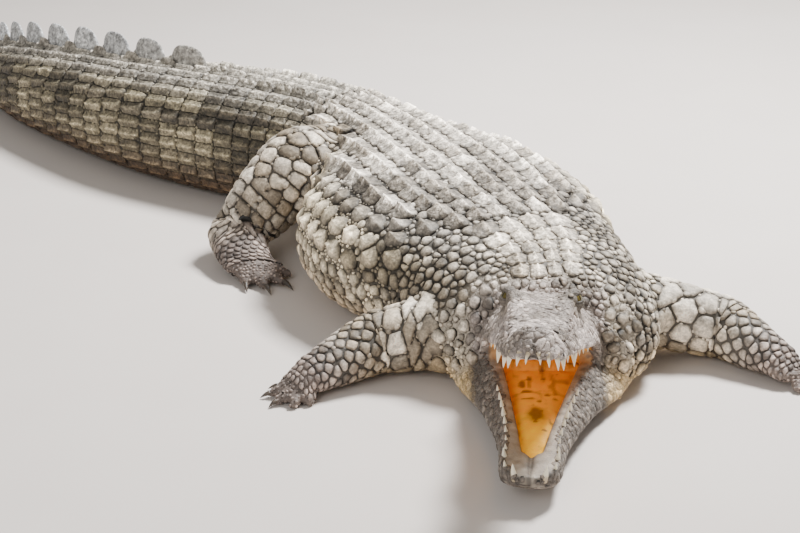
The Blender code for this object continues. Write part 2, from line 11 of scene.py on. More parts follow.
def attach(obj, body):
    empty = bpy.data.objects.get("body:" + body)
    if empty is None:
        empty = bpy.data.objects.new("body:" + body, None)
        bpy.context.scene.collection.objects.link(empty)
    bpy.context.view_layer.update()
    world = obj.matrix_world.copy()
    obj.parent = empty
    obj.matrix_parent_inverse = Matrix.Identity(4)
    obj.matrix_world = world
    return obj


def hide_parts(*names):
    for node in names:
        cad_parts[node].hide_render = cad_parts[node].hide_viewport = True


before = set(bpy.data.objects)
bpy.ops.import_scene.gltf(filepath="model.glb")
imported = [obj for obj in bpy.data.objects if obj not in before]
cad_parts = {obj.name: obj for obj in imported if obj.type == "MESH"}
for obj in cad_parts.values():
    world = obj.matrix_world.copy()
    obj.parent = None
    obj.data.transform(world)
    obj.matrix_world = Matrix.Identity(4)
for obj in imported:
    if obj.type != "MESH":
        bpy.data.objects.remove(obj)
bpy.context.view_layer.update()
chance = np.random.default_rng(11)


# ------------------------------------------------------------------------------
# The body under the scales. Neck, trunk and tail are one form: ovals with a flat belly, carried along a spine
# that bends in plan. The hide lies inside the animal's outline by the depth of the coat over it.
NAPE = np.array([0.5206, -0.9753, 0.0])
HEADINGS = [(-0.15, 84), (0.0, 90), (0.12, 103), (0.3, 114), (0.65, 111), (0.95, 116), (1.15, 136),
            (1.35, 149), (1.55, 147), (1.8, 137), (2.1, 133), (2.5, 120), (3.05, 92)]
TAIL_TIP = 3.02
HALF_WIDTH = [(-0.035, 0.165), (-0.015, 0.196), (0.02, 0.22), (0.06, 0.234), (0.13, 0.242), (0.25, 0.262),
              (0.4, 0.31), (0.53, 0.335), (0.65, 0.325), (0.76, 0.27), (0.86, 0.212), (0.95, 0.182),
              (1.05, 0.174), (1.2, 0.174), (1.5, 0.17), (1.8, 0.155), (2.2, 0.124), (2.5, 0.088), (2.8, 0.043),
              (2.95, 0.02), (3.02, 0.009)]
BACK_HEIGHT = [(-0.035, 0.19), (-0.015, 0.215), (0.02, 0.236), (0.06, 0.25), (0.13, 0.268), (0.25, 0.285),
               (0.42, 0.3), (0.6, 0.31), (0.8, 0.31), (1.0, 0.306), (1.2, 0.306), (1.45, 0.305), (1.6, 0.3),
               (1.8, 0.286), (2.2, 0.245), (2.5, 0.192), (2.8, 0.118), (2.95, 0.068), (3.02, 0.042)]
WAIST_SHARE = [(-0.035, 0.4), (0.1, 0.38), (0.3, 0.42), (0.6, 0.4), (1.0, 0.44), (1.5, 0.47), (2.2, 0.5),
               (3.02, 0.5)]
TOP_SQUARENESS = [(-0.035, 1.9), (0, 2.0), (0.1, 2.2), (0.25, 2.5), (0.6, 2.3), (1.1, 2.3), (1.6, 2.1),
                  (2.2, 1.8), (3.02, 1.8)]
BELLY_SQUARENESS = [(-0.035, 2.6), (0.2, 2.9), (0.6, 3.0), (1.1, 2.9), (1.8, 2.5), (3.02, 2.2)]
BACK_COAT = [(-0.035, 0.004), (0.1, 0.008), (0.25, 0.013), (1.1, 0.013), (1.5, 0.009), (2.2, 0.006),
             (3.02, 0.002)]
SIDE_COAT = [(-0.035, 0.004), (0.3, 0.008), (1.1, 0.008), (1.5, 0.006), (2.2, 0.004), (3.02, 0.002)]


def ease(x, knots):
    """A smooth curve through the knots, a list of (x, y), that never swings past them."""
    xs, ys = np.array(knots, float).T
    x = np.asarray(x, float)
    slopes = np.diff(ys) / np.diff(xs)
    steps = slopes[:-1] * slopes[1:]
    inner = np.where(steps > 0, 2 * steps / np.where(steps > 0, slopes[:-1] + slopes[1:], 1), 0)
    tangents = np.concatenate([slopes[:1], inner, slopes[-1:]])
    i = np.clip(np.searchsorted(xs, x) - 1, 0, len(xs) - 2)
    width = xs[i + 1] - xs[i]
    t = np.clip((x - xs[i]) / width, 0, 1)
    return (ys[i] * (1 + 2 * t) * (1 - t) ** 2 + ys[i + 1] * t * t * (3 - 2 * t)
            + width * t * (1 - t) * (tangents[i] * (1 - t) - tangents[i + 1] * t))


def unit(vectors):
    """Each vector divided by its own length."""
    return vectors / np.maximum(np.linalg.norm(vectors, axis=-1, keepdims=True), 1e-12)


def fade(x, low, high):
    """0 below low, 1 above high, and the smooth step t * t * (3 - 2 * t) between them."""
    t = np.clip((x - low) / (high - low), 0, 1)
    return t * t * (3 - 2 * t)


def crosswise(forward, upright=(0, 0, 1.0)):
    """Two directions square to forward: sideways, and the one nearest to upright."""
    side = unit(np.cross(forward, upright))
    return side, np.cross(side, forward)


def ovals(centre, wide, high, side, up, turns):
    """Rings of points: centre + wide * sin(turn) * side + high * cos(turn) * up."""
    return (centre[:, None] + (wide[:, None] * np.sin(turns))[..., None] * side[..., None, :]
            + (high[:, None] * np.cos(turns))[..., None] * up[..., None, :])


# The lowest heights: forms under the skin, toes, skin before and after its relief, scales, claws.
FORM_LOW, TOE_LOW, SKIN_LOW, RELIEF_LOW, SCALE_LOW, CLAW_LOW = 0.002, 0.0008, 0.0015, 0.0003, 0.0004, 0.0006


def lifted(points, lowest):
    """The points, with none of them under the lowest height."""
    points[..., 2] = np.maximum(points[..., 2], lowest)
    return points


def spine_line():
    """Distances along the spine and the points there: the running sum of short steps at each heading."""
    s = np.linspace(-0.15, TAIL_TIP, 635)
    angle = np.radians(ease(s, HEADINGS))
    step = np.column_stack([np.cos(angle), np.sin(angle), np.zeros_like(s)]) * (s[1] - s[0])
    line = np.cumsum(step, axis=0)
    at_nape = np.array([np.interp(0, s, line[:, k]) for k in range(3)])
    return s, line - at_nape + NAPE


SPINE_S, SPINE = spine_line()


def spine_at(s):
    """Point, direction towards the tail and direction to the animal's left at distances s."""
    point = np.stack([np.interp(s, SPINE_S, SPINE[:, k]) for k in range(3)], axis=-1)
    angle = np.radians(ease(s, HEADINGS))
    back = np.stack([np.cos(angle), np.sin(angle), 0 * angle], axis=-1)
    left = np.stack([np.sin(angle), -np.cos(angle), 0 * angle], axis=-1)
    return point, back, left


def body_grid(s, columns):
    """Rings round the body at distances s. A ring point at angle a from the crown is sin(a) ** (2 / q) half
    widths out and cos(a) ** (2 / q) up from the waist, with its own q above and below the waist."""
    a = np.linspace(-math.pi, math.pi, columns)[None, :]
    s = np.asarray(s)[:, None]
    point, _, left = spine_at(s[:, 0])
    top = ease(s, BACK_HEIGHT)
    high = top - ease(s, BACK_COAT)
    half = ease(s, HALF_WIDTH) - ease(s, SIDE_COAT)
    waist = top * ease(s, WAIST_SHARE)
    over = np.cos(a) >= 0
    square = np.where(over, ease(s, TOP_SQUARENESS), ease(s, BELLY_SQUARENESS))
    out = np.sign(np.sin(a)) * np.abs(np.sin(a)) ** (2 / square)
    up = np.abs(np.cos(a)) ** (2 / square)
    height = np.where(over, waist + (high - waist) * up, waist - (waist + 0.002) * up)
    height = np.maximum(height, 0.003)
    return point[:, None] + (half * out)[..., None] * left[:, None] + height[..., None] * np.array([0, 0, 1.0])


class Sheet:
    """A grown surface: rings along a line, each open underneath, with its crown in the middle column. Places on
    it are in metres: along the line, and across from the crown, above 0 to the animal's left. Its points lie
    evenly round each ring, and a place between four of them is their mean by nearness."""

    def __init__(self, along, grid):
        step = np.linalg.norm(np.diff(grid, axis=1), axis=2)
        length = np.concatenate([0 * step[:, :1], np.cumsum(step, axis=1)], axis=1)
        even = length[:, -1:] * np.linspace(0, 1, grid.shape[1])
        self.along = along
        self.girth = length[:, -1] / 2
        self.grid = np.stack([np.stack([np.interp(e, l, ring[:, k]) for k in range(3)], axis=1)
                              for e, l, ring in zip(even, length, grid)])
        forward, sideways = np.gradient(self.grid, axis=0), np.gradient(self.grid, axis=1)
        normal = unit(np.cross(forward, sideways))
        outward = self.grid - self.grid.mean(axis=1, keepdims=True)
        self.turn = 1 if (normal * outward).sum() > 0 else -1
        self.normal = normal * self.turn

    def at(self, along, across):
        """Place and outward direction at a distance along and a distance across."""
        rows, columns = self.grid.shape[:2]
        row = np.clip(np.interp(along, self.along, np.arange(rows)), 0, rows - 1.001)
        share = (across / np.interp(along, self.along, self.girth) + 1) % 2
        column = np.clip(share / 2 * (columns - 1), 0, columns - 1.001)
        i, j = row.astype(int), column.astype(int)
        f, h = (row - i)[..., None], (column - j)[..., None]
        place, normal = (v[i, j] * (1 - f) * (1 - h) + v[i + 1, j] * f * (1 - h)
                         + v[i, j + 1] * (1 - f) * h + v[i + 1, j + 1] * f * h for v in (self.grid, self.normal))
        return place, unit(normal)

    def half_girth(self, along):
        """Half the distance round the ring at each distance along."""
        return np.interp(along, self.along, self.girth)


BODY_S = np.arange(-0.05, TAIL_TIP, 0.006)
body = Sheet(BODY_S, body_grid(BODY_S, 241))


# ------------------------------------------------------------------------------
# The limbs under their plates: one smooth tube each, from inside the trunk over elbow or knee to the knuckles,
# and short round toes in a fan. The joints are counted from the nape.
LIMBS = {
    "front_right": ([(-0.105, 0.062, 0.113), (-0.332, 0.07, 0.068), (-0.455, -0.022, 0.04),
                     (-0.492, -0.046, 0.024)],
                    222),
    "front_left": ([(0.165, 0.18, 0.104), (0.37, 0.15, 0.066), (0.46, 0.048, 0.04), (0.487, 0.014, 0.024)], -52),
    "hind_right": ([(-0.33, 0.946, 0.16), (-0.52, 0.772, 0.2), (-0.665, 0.7, 0.058), (-0.622, 0.57, 0.03)], -54),
    "hind_left": ([(-0.3, 0.95, 0.14), (-0.135, 0.93, 0.148), (0.035, 1.06, 0.056), (0.088, 0.945, 0.03)], -60),
}
FRONT_RADII = [(0, 0.07, 0.076), (0.5, 0.066, 0.072), (0.9, 0.062, 0.066), (1, 0.062, 0.064), (1.2, 0.061, 0.06),
               (1.7, 0.05, 0.048), (2, 0.045, 0.037), (2.5, 0.043, 0.028), (3, 0.038, 0.019), (3.3, 0.02, 0.01)]
HIND_RADII = [(0, 0.085, 0.095), (0.5, 0.088, 0.092), (0.9, 0.088, 0.092), (1, 0.087, 0.092),
              (1.25, 0.085, 0.09),
              (1.6, 0.076, 0.08), (2, 0.062, 0.056), (2.5, 0.064, 0.038), (3, 0.056, 0.023), (3.3, 0.03, 0.012)]
FRONT_DIGITS = [(-50, 0.034, True), (-25, 0.044, True), (2, 0.048, True), (27, 0.044, False), (49, 0.034, False)]
HIND_DIGITS = [(-25, 0.085, True), (-9, 0.115, True), (8, 0.12, True), (26, 0.1, False)]
LIMB_COAT = 0.0035
JOINTS = {name: np.array(places) + NAPE for name, (places, _) in LIMBS.items()}


def of_kind(name, front, hind):
    """The front limbs' value or the hind limbs' one."""
    return front if name.startswith("front") else hind


def limb_radii(name, bones):
    """Half widths and half heights of a limb under its plates, at places counted in bones from its root."""
    radii = of_kind(name, FRONT_RADII, HIND_RADII)
    return [ease(bones, [(row[0], row[k]) for row in radii]) - LIMB_COAT for k in (1, 2)]


def limb_sheet(name):
    """A limb as rings: ovals square to a line that rounds the joints, with the crown column facing up."""
    joints = JOINTS[name]
    joints = np.vstack([joints, joints[-1] + unit(joints[-1] - joints[-2]) * 0.02])
    bones = np.concatenate([np.linspace(0, 3, 151), [3.15, 3.3]])
    passed = np.maximum(bones, 3 + (bones - 3) * 3)
    line = np.stack([np.interp(passed, range(5), joints[:, k]) for k in range(3)], axis=1)
    # The corners of the line are rounded by averaging it over a short length.
    weight = np.hanning(17)
    padded = np.vstack([np.repeat(line[:1], 8, axis=0), line, np.repeat(line[-1:], 8, axis=0)])
    soft = np.stack([np.convolve(padded[:, k], weight / weight.sum(), "valid") for k in range(3)], axis=1)
    ends = fade(bones, 0.1, 0.4) * (1 - fade(bones, 2.4, 2.8))
    line = line + (soft - line) * ends[:, None]
    side, upward = crosswise(unit(np.gradient(soft, axis=0)))
    grid = ovals(line, *limb_radii(name, bones), side, upward, np.linspace(-math.pi, math.pi, 61))
    along = np.concatenate([[0], np.cumsum(np.linalg.norm(np.diff(line, axis=0), axis=1))])
    stops = np.interp([1, 2, 3], bones, along)
    return Sheet(along + np.arange(len(along)) * 1e-6, lifted(grid, FORM_LOW)), stops


limbs = {name: limb_sheet(name) for name in LIMBS}


def bone_rings(name, bone, start, end):
    """One straight length of a limb, from start to end in bones from its root: ovals, then a dome over the
    joint, where an oval at turn d is cos(d) times as wide and sin(d) radii further on."""
    joints, t = JOINTS[name], np.linspace(start, end, 13)
    span = joints[bone + 1] - joints[bone]
    forward = unit(span)
    across, thick = limb_radii(name, t)
    turn = np.linspace(0.15, 1.5, 8)
    blunt = 0.5 if bone == 2 else 0.97
    centre = joints[bone] + span * (t - bone)[:, None]
    dome = centre[-1] + forward * (np.sin(turn) * min(across[-1], thick[-1]) * blunt)[:, None]
    across, thick = (np.concatenate([size, size[-1] * np.cos(turn)]) for size in (across, thick))
    turns = np.linspace(-math.pi, math.pi, 49)[:-1]
    return lifted(ovals(np.vstack([centre, dome]), across, thick, *crosswise(forward), turns), FORM_LOW)


def digit_lines(name):
    """Root, middle and tip of each toe's core line, its radii there, its heading and whether it has a claw."""
    joints, heading = JOINTS[name], LIMBS[name][1]
    radius = of_kind(name, 0.0125, 0.017)
    mirror = 1 if name.endswith("right") else -1
    start = joints[-2] * 0.35 + joints[-1] * 0.65
    found = []
    for number, (angle, length, clawed) in enumerate(of_kind(name, FRONT_DIGITS, HIND_DIGITS), 1):
        turn = math.radians(heading + mirror * angle)
        ahead = np.array([math.cos(turn), math.sin(turn), 0.0])
        across = np.array([-math.sin(turn), math.cos(turn), 0.0])
        reach = 0.014 + np.array([0, 0.5, 1.0]) * length
        height = np.array([start[2] - 0.0015 + 0.0007 * number, radius * 1.35, radius * 0.75])
        line = np.column_stack([start[:2] + reach[:, None] * ahead[:2] + across[:2] * angle / 2600, height])
        found.append((line, radius * np.array([1.0, 1.02, 0.62]), ahead, across, clawed))
    return found


def digit_grid(line, girth, across):
    """A toe as rings: a round tube along the core line, thicker over its two knuckles, closed by a round tip."""
    t = np.linspace(0, 1, 22)
    centre = np.stack([ease(t, list(zip((0, 0.5, 1), line[:, k]))) for k in range(3)], axis=1)
    size = ease(t, list(zip((0, 0.5, 1), girth))) * (1 + 0.07 * np.cos((t - 0.4) * 14)) - 0.001
    tip = np.linspace(0.25, 1, 5) * math.pi / 2
    centre = np.vstack([centre, centre[-1] + unit(line[2] - line[1]) * np.sin(tip)[:, None] * size[-1] * 0.9])
    size = np.concatenate([size, size[-1] * np.cos(tip) + 0.0003])
    turns = np.linspace(-math.pi, math.pi, 25)[:-1]
    return lifted(ovals(centre, size, size, across, np.array([0, 0, 1.0]), turns), TOE_LOW)


# ------------------------------------------------------------------------------
# The head: a long flat skull with raised brows and nostrils over a deep lower jaw, held wide open. Sections
# across it run from crown to palate and from mouth floor to chin, in shares of the head's length.
HEAD = 0.5
JAW_JOINT = NAPE + np.array([-0.006, 0.022, 0.098])
HEAD_MIDDLE = 0.5
JOINT_TO_TIP = 1.05
HEAD_HEADING = 263.6
UPPER_PITCH = 19.5
LOWER_PITCH = -3.6
SNOUT_WIDTH = [(0, 0.014), (0.008, 0.052), (0.03, 0.088), (0.065, 0.111), (0.105, 0.115), (0.165, 0.1),
               (0.24, 0.12), (0.33, 0.146), (0.42, 0.143), (0.5, 0.15), (0.6, 0.17), (0.7, 0.196), (0.8, 0.218),
               (0.9, 0.234), (1, 0.238), (1.06, 0.224)]
CROWN = [(0, 0.035), (0.02, 0.068), (0.06, 0.104), (0.1, 0.102), (0.16, 0.086), (0.3, 0.101), (0.45, 0.122),
         (0.56, 0.146), (0.64, 0.164), (0.7, 0.17), (0.78, 0.176), (0.9, 0.178), (1, 0.172), (1.06, 0.15)]
BROW = [(0, 0.03), (0.02, 0.06), (0.06, 0.094), (0.1, 0.09), (0.16, 0.074), (0.3, 0.088), (0.45, 0.108),
        (0.56, 0.136), (0.635, 0.168), (0.68, 0.197), (0.73, 0.2), (0.785, 0.182), (0.9, 0.18), (1, 0.174),
        (1.06, 0.145)]
BROW_OUT = [(0, 0.5), (0.1, 0.56), (0.3, 0.58), (0.5, 0.56), (0.62, 0.58), (0.7, 0.6), (0.78, 0.5), (0.9, 0.46),
            (1, 0.46), (1.06, 0.46)]
CHEEK_OUT = [(0, 0.9), (0.1, 0.93), (0.3, 0.93), (0.5, 0.88), (0.65, 0.84), (0.75, 0.84), (0.9, 0.88),
             (1.06, 0.92)]
CHEEK_UP = [(0, 0.45), (0.3, 0.44), (0.55, 0.42), (0.7, 0.4), (0.9, 0.42), (1.06, 0.45)]
LIP_THICKNESS = 0.014
PALATE = [(0, 0.004), (0.1, 0.016), (0.5, 0.018), (0.85, 0.014), (1.06, 0.004)]
CHEEK_DROP = [(0, 0), (0.83, 0), (0.87, 0.05), (0.91, 0.086), (0.96, 0.066), (1.06, 0.03)]
JAW_WIDTH = [(0, 0.012), (0.008, 0.042), (0.03, 0.073), (0.07, 0.096), (0.12, 0.103), (0.2, 0.1), (0.3, 0.106),
             (0.42, 0.122), (0.54, 0.142), (0.66, 0.165), (0.78, 0.191), (0.9, 0.218), (1, 0.236), (1.045, 0.24)]
JAW_FLARE = [(0, 0.004), (0.1, 0.012), (0.25, 0.022), (0.5, 0.046), (0.7, 0.076), (0.8, 0.102), (0.9, 0.118),
             (1, 0.125), (1.045, 0.12)]
JAW_DEPTH = [(0, 0.03), (0.02, 0.052), (0.08, 0.078), (0.2, 0.088), (0.4, 0.104), (0.6, 0.13), (0.8, 0.168),
             (1, 0.19), (1.045, 0.19)]
GUM_WIDTH = [(0, 0.97), (0.165, 0.95), (0.18, 0.68), (0.24, 0.58), (0.34, 0.5), (0.45, 0.43), (0.6, 0.37),
             (0.8, 0.33), (1.045, 0.3)]
FLOOR_DROP = [(0, 0.006), (0.1, 0.014), (0.2, 0.03), (0.4, 0.05), (0.7, 0.07), (0.9, 0.07), (1.045, 0.05)]
EYE_BACK, EYE_OUT, EYE_UP, EYE_RADIUS = 0.7, 0.118, 0.168, 0.017
HIDE_INSET = 0.003
HEAD_COLUMNS = 120


def closed_curve(points, count):
    """Evenly counted points on the smooth closed curve (Catmull-Rom) through each row of control points."""
    n = points.shape[1]
    t = np.arange(count) * n / count
    i, f = t.astype(int), (t % 1)[None, :, None]
    a, b, c, d = (points[:, (i + k) % n] for k in (-1, 0, 1, 2))
    return 0.5 * (2 * b + (c - a) * f + (2 * a - 5 * b + 4 * c - d) * f**2 + (3 * b - a - 3 * c + d) * f**3)


def head_axes(pitch):
    """Forward, left and up of a jaw that is raised by pitch degrees."""
    heading, pitch = math.radians(HEAD_HEADING), math.radians(pitch)
    forward = np.array([math.cos(heading) * math.cos(pitch), math.sin(heading) * math.cos(pitch),
                        math.sin(pitch)])
    left = np.array([-math.sin(heading), math.cos(heading), 0.0])
    return forward, left, np.cross(forward, left)


def head_point(pitch, back, out, up):
    """A place in a jaw's own measure, all shares of HEAD: back from its tip, out to the left, up from its
    teeth."""
    forward, left, top = head_axes(pitch)
    back, out, up = (np.asarray(v, float)[..., None] * HEAD for v in (back, out, up))
    return JAW_JOINT + forward * (JOINT_TO_TIP * HEAD - back) + left * out + top * up


def head_measure(pitch, points):
    """The reverse of head_point: back, out and up of places in space."""
    rel = (points - JAW_JOINT) / HEAD
    forward, left, top = head_axes(pitch)
    return JOINT_TO_TIP - rel @ forward, rel @ left, rel @ top


def mirrored_rings(half, pitch, back, count):
    """Rings from half sections of (out, up) points that run from crown to keel, mirrored to the right side."""
    whole = [*half, *((-out, up) for out, up in half[-2:0:-1])]
    control = np.stack([head_point(pitch, back, out, up) for out, up in whole], axis=1)
    return closed_curve(control, count)


def upper_rings(back):
    """Sections of the upper head: crown, brow or skull-table edge, cheek, lip and palate."""
    wide, crown, brow = (ease(back, knots) - HIDE_INSET for knots in (SNOUT_WIDTH, CROWN, BROW))
    brow_out, cheek_out, cheek_up, drop = (ease(back, knots)
                                           for knots in (BROW_OUT, CHEEK_OUT, CHEEK_UP, CHEEK_DROP))
    lip, palate = LIP_THICKNESS - drop, ease(back, PALATE) - drop
    half = [(0 * wide, crown), (wide * brow_out, brow),
            (wide * (brow_out + cheek_out) / 2, (brow + brow * cheek_up) / 2),
            (wide * cheek_out, brow * cheek_up), (wide, lip),
            (wide * 0.95, lip - 1.1 * LIP_THICKNESS), (wide * 0.78, palate - 0.008),
            (wide * 0.4, palate), (0 * wide, palate)]
    return mirrored_rings(half, UPPER_PITCH, back, HEAD_COLUMNS)


def lower_rings(back):
    """Sections of the lower jaw: mouth floor, gum, tooth edge, flared side and chin."""
    wide, flare, deep = (ease(back, knots) for knots in (JAW_WIDTH, JAW_FLARE, JAW_DEPTH))
    wide, deep = wide - HIDE_INSET, deep - HIDE_INSET
    inner, drop = wide * (1 - ease(back, GUM_WIDTH)), ease(back, FLOOR_DROP)
    half = [(0 * wide, -drop), (inner * 0.6, -drop), (inner, -drop * 0.85),
            (inner * 0.86 + wide * 0.14, -drop * 0.1),
            (wide * 0.94, 0 * wide), (wide + flare * 0.25, -deep * 0.2), (wide + flare * 0.8, -deep * 0.5),
            (wide * 0.9 + flare, -deep * 0.82), (wide * 0.5, -deep), (0 * wide, -deep * 1.02)]
    return lifted(mirrored_rings(half, LOWER_PITCH, back, HEAD_COLUMNS), FORM_LOW)


def head_sheet(rings, back):
    """Jaw sections as a sheet, the crown or the mouth floor in the middle, in metres back from the tip."""
    turned = np.roll(rings, HEAD_COLUMNS // 2, axis=1)
    return Sheet(back * HEAD, np.concatenate([turned, turned[:, :1]], axis=1))


head_back, jaw_back = (np.concatenate([[0.002, 0.005, 0.009], np.linspace(0.015, 1.04, n)]) for n in (110, 100))
upper, lower = upper_rings(head_back), lower_rings(jaw_back)
upper_sheet, jaw_sheet = head_sheet(upper, head_back), head_sheet(lower, jaw_back)


# ------------------------------------------------------------------------------
# The hide's colours. A place on the animal has one ground colour, whether it is bare skin or a scale: dusty grey
# on the back, olive sides with dark blotches, a yellowish lower flank, dark feet, taupe head, orange mouth.
def linear(red, green, blue):
    """A display colour, 0 to 255, as the light it stands for."""
    c = np.array([red, green, blue]) / 255
    return np.where(c < 0.04045, c / 12.92, ((c + 0.055) / 1.055) ** 2.4)


def mix(a, b, share):
    """From colour a to colour b by each point's share."""
    return a + (b - a) * share[:, None]


def hashed(cube, seed):
    """A large whole number for each cube's three whole numbers."""
    return (cube * np.array([73856093, 19349663, 83492791])).sum(axis=-1) + seed * 7919


def scrambled(h, shift=13, factor=1274126177):
    """Whole numbers up to 2 ** 31 made of other ones, with no pattern left in them."""
    return (h ^ (h >> shift)) * factor & 0x7FFFFFFF


def mottle(points, size, seed=0):
    """Soft random blotches from 0 to 1: values hashed at the corners of cubes of that size, smoothly mixed."""
    p = points / size + seed * 17.3
    i = np.floor(p).astype(np.int64)
    f = p - i
    f = f * f * (3 - 2 * f)
    total = 0
    for corner in range(8):
        bit = np.array([corner & 1, corner >> 1 & 1, corner >> 2 & 1])
        h = scrambled(scrambled(hashed(i + bit, seed)), 15, 668265263) / 0x7FFFFFFF
        total = total + h * np.prod(np.where(bit == 1, f, 1 - f), axis=-1)
    return total


def spine_measure(points):
    """Distance along the spine, distance to its left and height share of each place."""
    s, left_of = np.empty(len(points)), np.empty(len(points))
    for part in np.array_split(np.arange(len(points)), len(points) // 20000 + 1):
        gap = points[part, None, :2] - SPINE[None, ::2, :2]
        nearest = (gap**2).sum(-1).argmin(axis=1) * 2
        s[part] = SPINE_S[nearest]
        _, _, left = spine_at(s[part])
        left_of[part] = ((points[part] - SPINE[nearest]) * left).sum(-1)
    return s, left_of, points[:, 2] / ease(s, BACK_HEIGHT)


def limb_measure(points):
    """The nearest limb's number, the bones passed from its root and the distance from its core line."""
    best, bones, which = np.full(len(points), 9.0), np.zeros(len(points)), np.zeros(len(points), int)
    for number, joints in enumerate(JOINTS.values()):
        for bone in range(3):
            span = joints[bone + 1] - joints[bone]
            t = np.clip((points - joints[bone]) @ span / (span @ span), 0, 1 if bone < 2 else 4)
            away = np.linalg.norm(points - joints[bone] - t[:, None] * span, axis=1)
            nearer = away < best
            best, bones, which = (np.where(nearer, a, b)
                                  for a, b in ((away, best), (bone + t, bones), (number, which)))
    return which, bones, best


def hide_colour(points):
    """The ground colour at each place, from its measures on body, limb and head."""
    s, aside, height = spine_measure(points)
    half = ease(s, HALF_WIDTH)
    which, bones, away = limb_measure(points)
    blotch = mottle(points, 0.06, 1) * 0.6 + mottle(points, 0.025, 2) * 0.4
    large = mottle(points, 0.16, 3)
    back = mix(linear(192, 183, 170), linear(122, 114, 103), fade(blotch, 0.4, 0.7))
    flank = mix(linear(236, 220, 190), linear(136, 124, 102), fade(blotch * 0.6 + large * 0.4, 0.42, 0.6))
    low = mix(linear(242, 220, 186), linear(188, 166, 136), fade(blotch, 0.4, 0.7))
    colour = mix(flank, back, fade(height, 0.7, 0.86))
    colour = mix(low, colour, fade(height, 0.18, 0.42))
    # The tail is darker and olive, with broken dark bands, and brown underneath.
    tail = mix(linear(132, 123, 100), linear(70, 64, 50),
               fade(np.sin(s * 22 + large * 5) * 0.22 + blotch, 0.3, 0.8))
    tail = mix(linear(78, 62, 46), tail, fade(height, 0.12, 0.45))
    # A dark line along each side at about three quarters of the height, painted shade of the groove there.
    tail = mix(tail, linear(70, 64, 56), 0.75 * np.exp(-((height - 0.74 + 0.04 * np.sin(s * 9)) / 0.05) ** 2))
    tail = mix(tail, linear(146, 140, 130), fade(height, 0.8, 0.92) * 0.85)
    tail = mix(tail, linear(196, 200, 204), fade(height, 0.985, 1.02))
    colour = mix(colour, tail, fade(s, 1.0, 1.2))
    # Legs: pale plates; the hands and feet are a dark purplish brown.
    leg = mix(linear(212, 200, 182), linear(146, 132, 112), fade(blotch, 0.4, 0.7))
    leg = mix(leg, linear(176, 156, 124), fade(-points[:, 2], -0.06, -0.02) * fade(-bones, -1.6, -1.2))
    foot = mix(linear(152, 136, 126), linear(108, 96, 89), fade(blotch, 0.35, 0.7))
    leg = mix(leg, foot, fade(bones - 0.6 * (which >= 2), 1.15, 2.1))
    on_leg = fade(np.abs(aside) - half, -0.03, 0.02) * (1 - fade(away, 0.1, 0.14))
    on_leg = np.where((which >= 2) & (bones > 0.55) & (away < 0.105), 1, on_leg)
    colour = mix(colour, leg, on_leg)
    # The neck and jowls are warm grey and turn cream low down; the head is taupe and turns darker low down.
    neck = mix(linear(204, 192, 174), linear(136, 124, 106), fade(blotch, 0.4, 0.65))
    neck = mix(linear(206, 178, 130), neck, fade(points[:, 2], 0.03, 0.11))
    colour = mix(neck, colour, np.maximum(fade(s, 0.1, 0.3), on_leg))
    forward = JAW_JOINT[1] + 0.02 - points[:, 1]
    head = mix(linear(198, 184, 175), linear(132, 121, 111), fade(blotch, 0.35, 0.7))
    for side in (-1, 1):
        brow = np.linalg.norm(points - head_point(UPPER_PITCH, EYE_BACK - 0.01, side * EYE_OUT, EYE_UP), axis=1)
        head = mix(linear(92, 84, 66), head, 0.35 + 0.65 * fade(brow + (blotch - 0.5) * 0.03, 0.02, 0.055))
    head = mix(head, linear(112, 103, 94), fade(-points[:, 2], -0.12, -0.08))
    from_middle = np.abs(points[:, 0] - HEAD_MIDDLE)
    return mix(colour, head, fade(forward, 0.0, 0.07) * (1 - fade(from_middle, 0.118, 0.14)))


class Wire:
    """One socket of a material, so that shader sums on numbers are written as sums."""

    def __init__(self, finish, socket):
        self.finish, self.socket = finish, socket

    def math(self, operation, *values):
        """A Math node on this value and the others."""
        return self.finish.node("ShaderNodeMath", {"operation": operation}, dict(enumerate((self, *values))))

    def __add__(self, other):
        return self.math("ADD", other)

    def __sub__(self, other):
        return self.math("SUBTRACT", other)

    def __mul__(self, other):
        return self.math("MULTIPLY", other)

    def __pow__(self, other):
        return self.math("POWER", other)

    def __rsub__(self, other):
        return (self * -1) + other

    __radd__, __rmul__ = __add__, __mul__

    def step(self, low, high):
        """0 below low, 1 above high, smooth between them."""
        return self.finish.node("ShaderNodeMapRange", {"interpolation_type": "SMOOTHSTEP"},
                                {"Value": self, "From Min": low, "From Max": high})


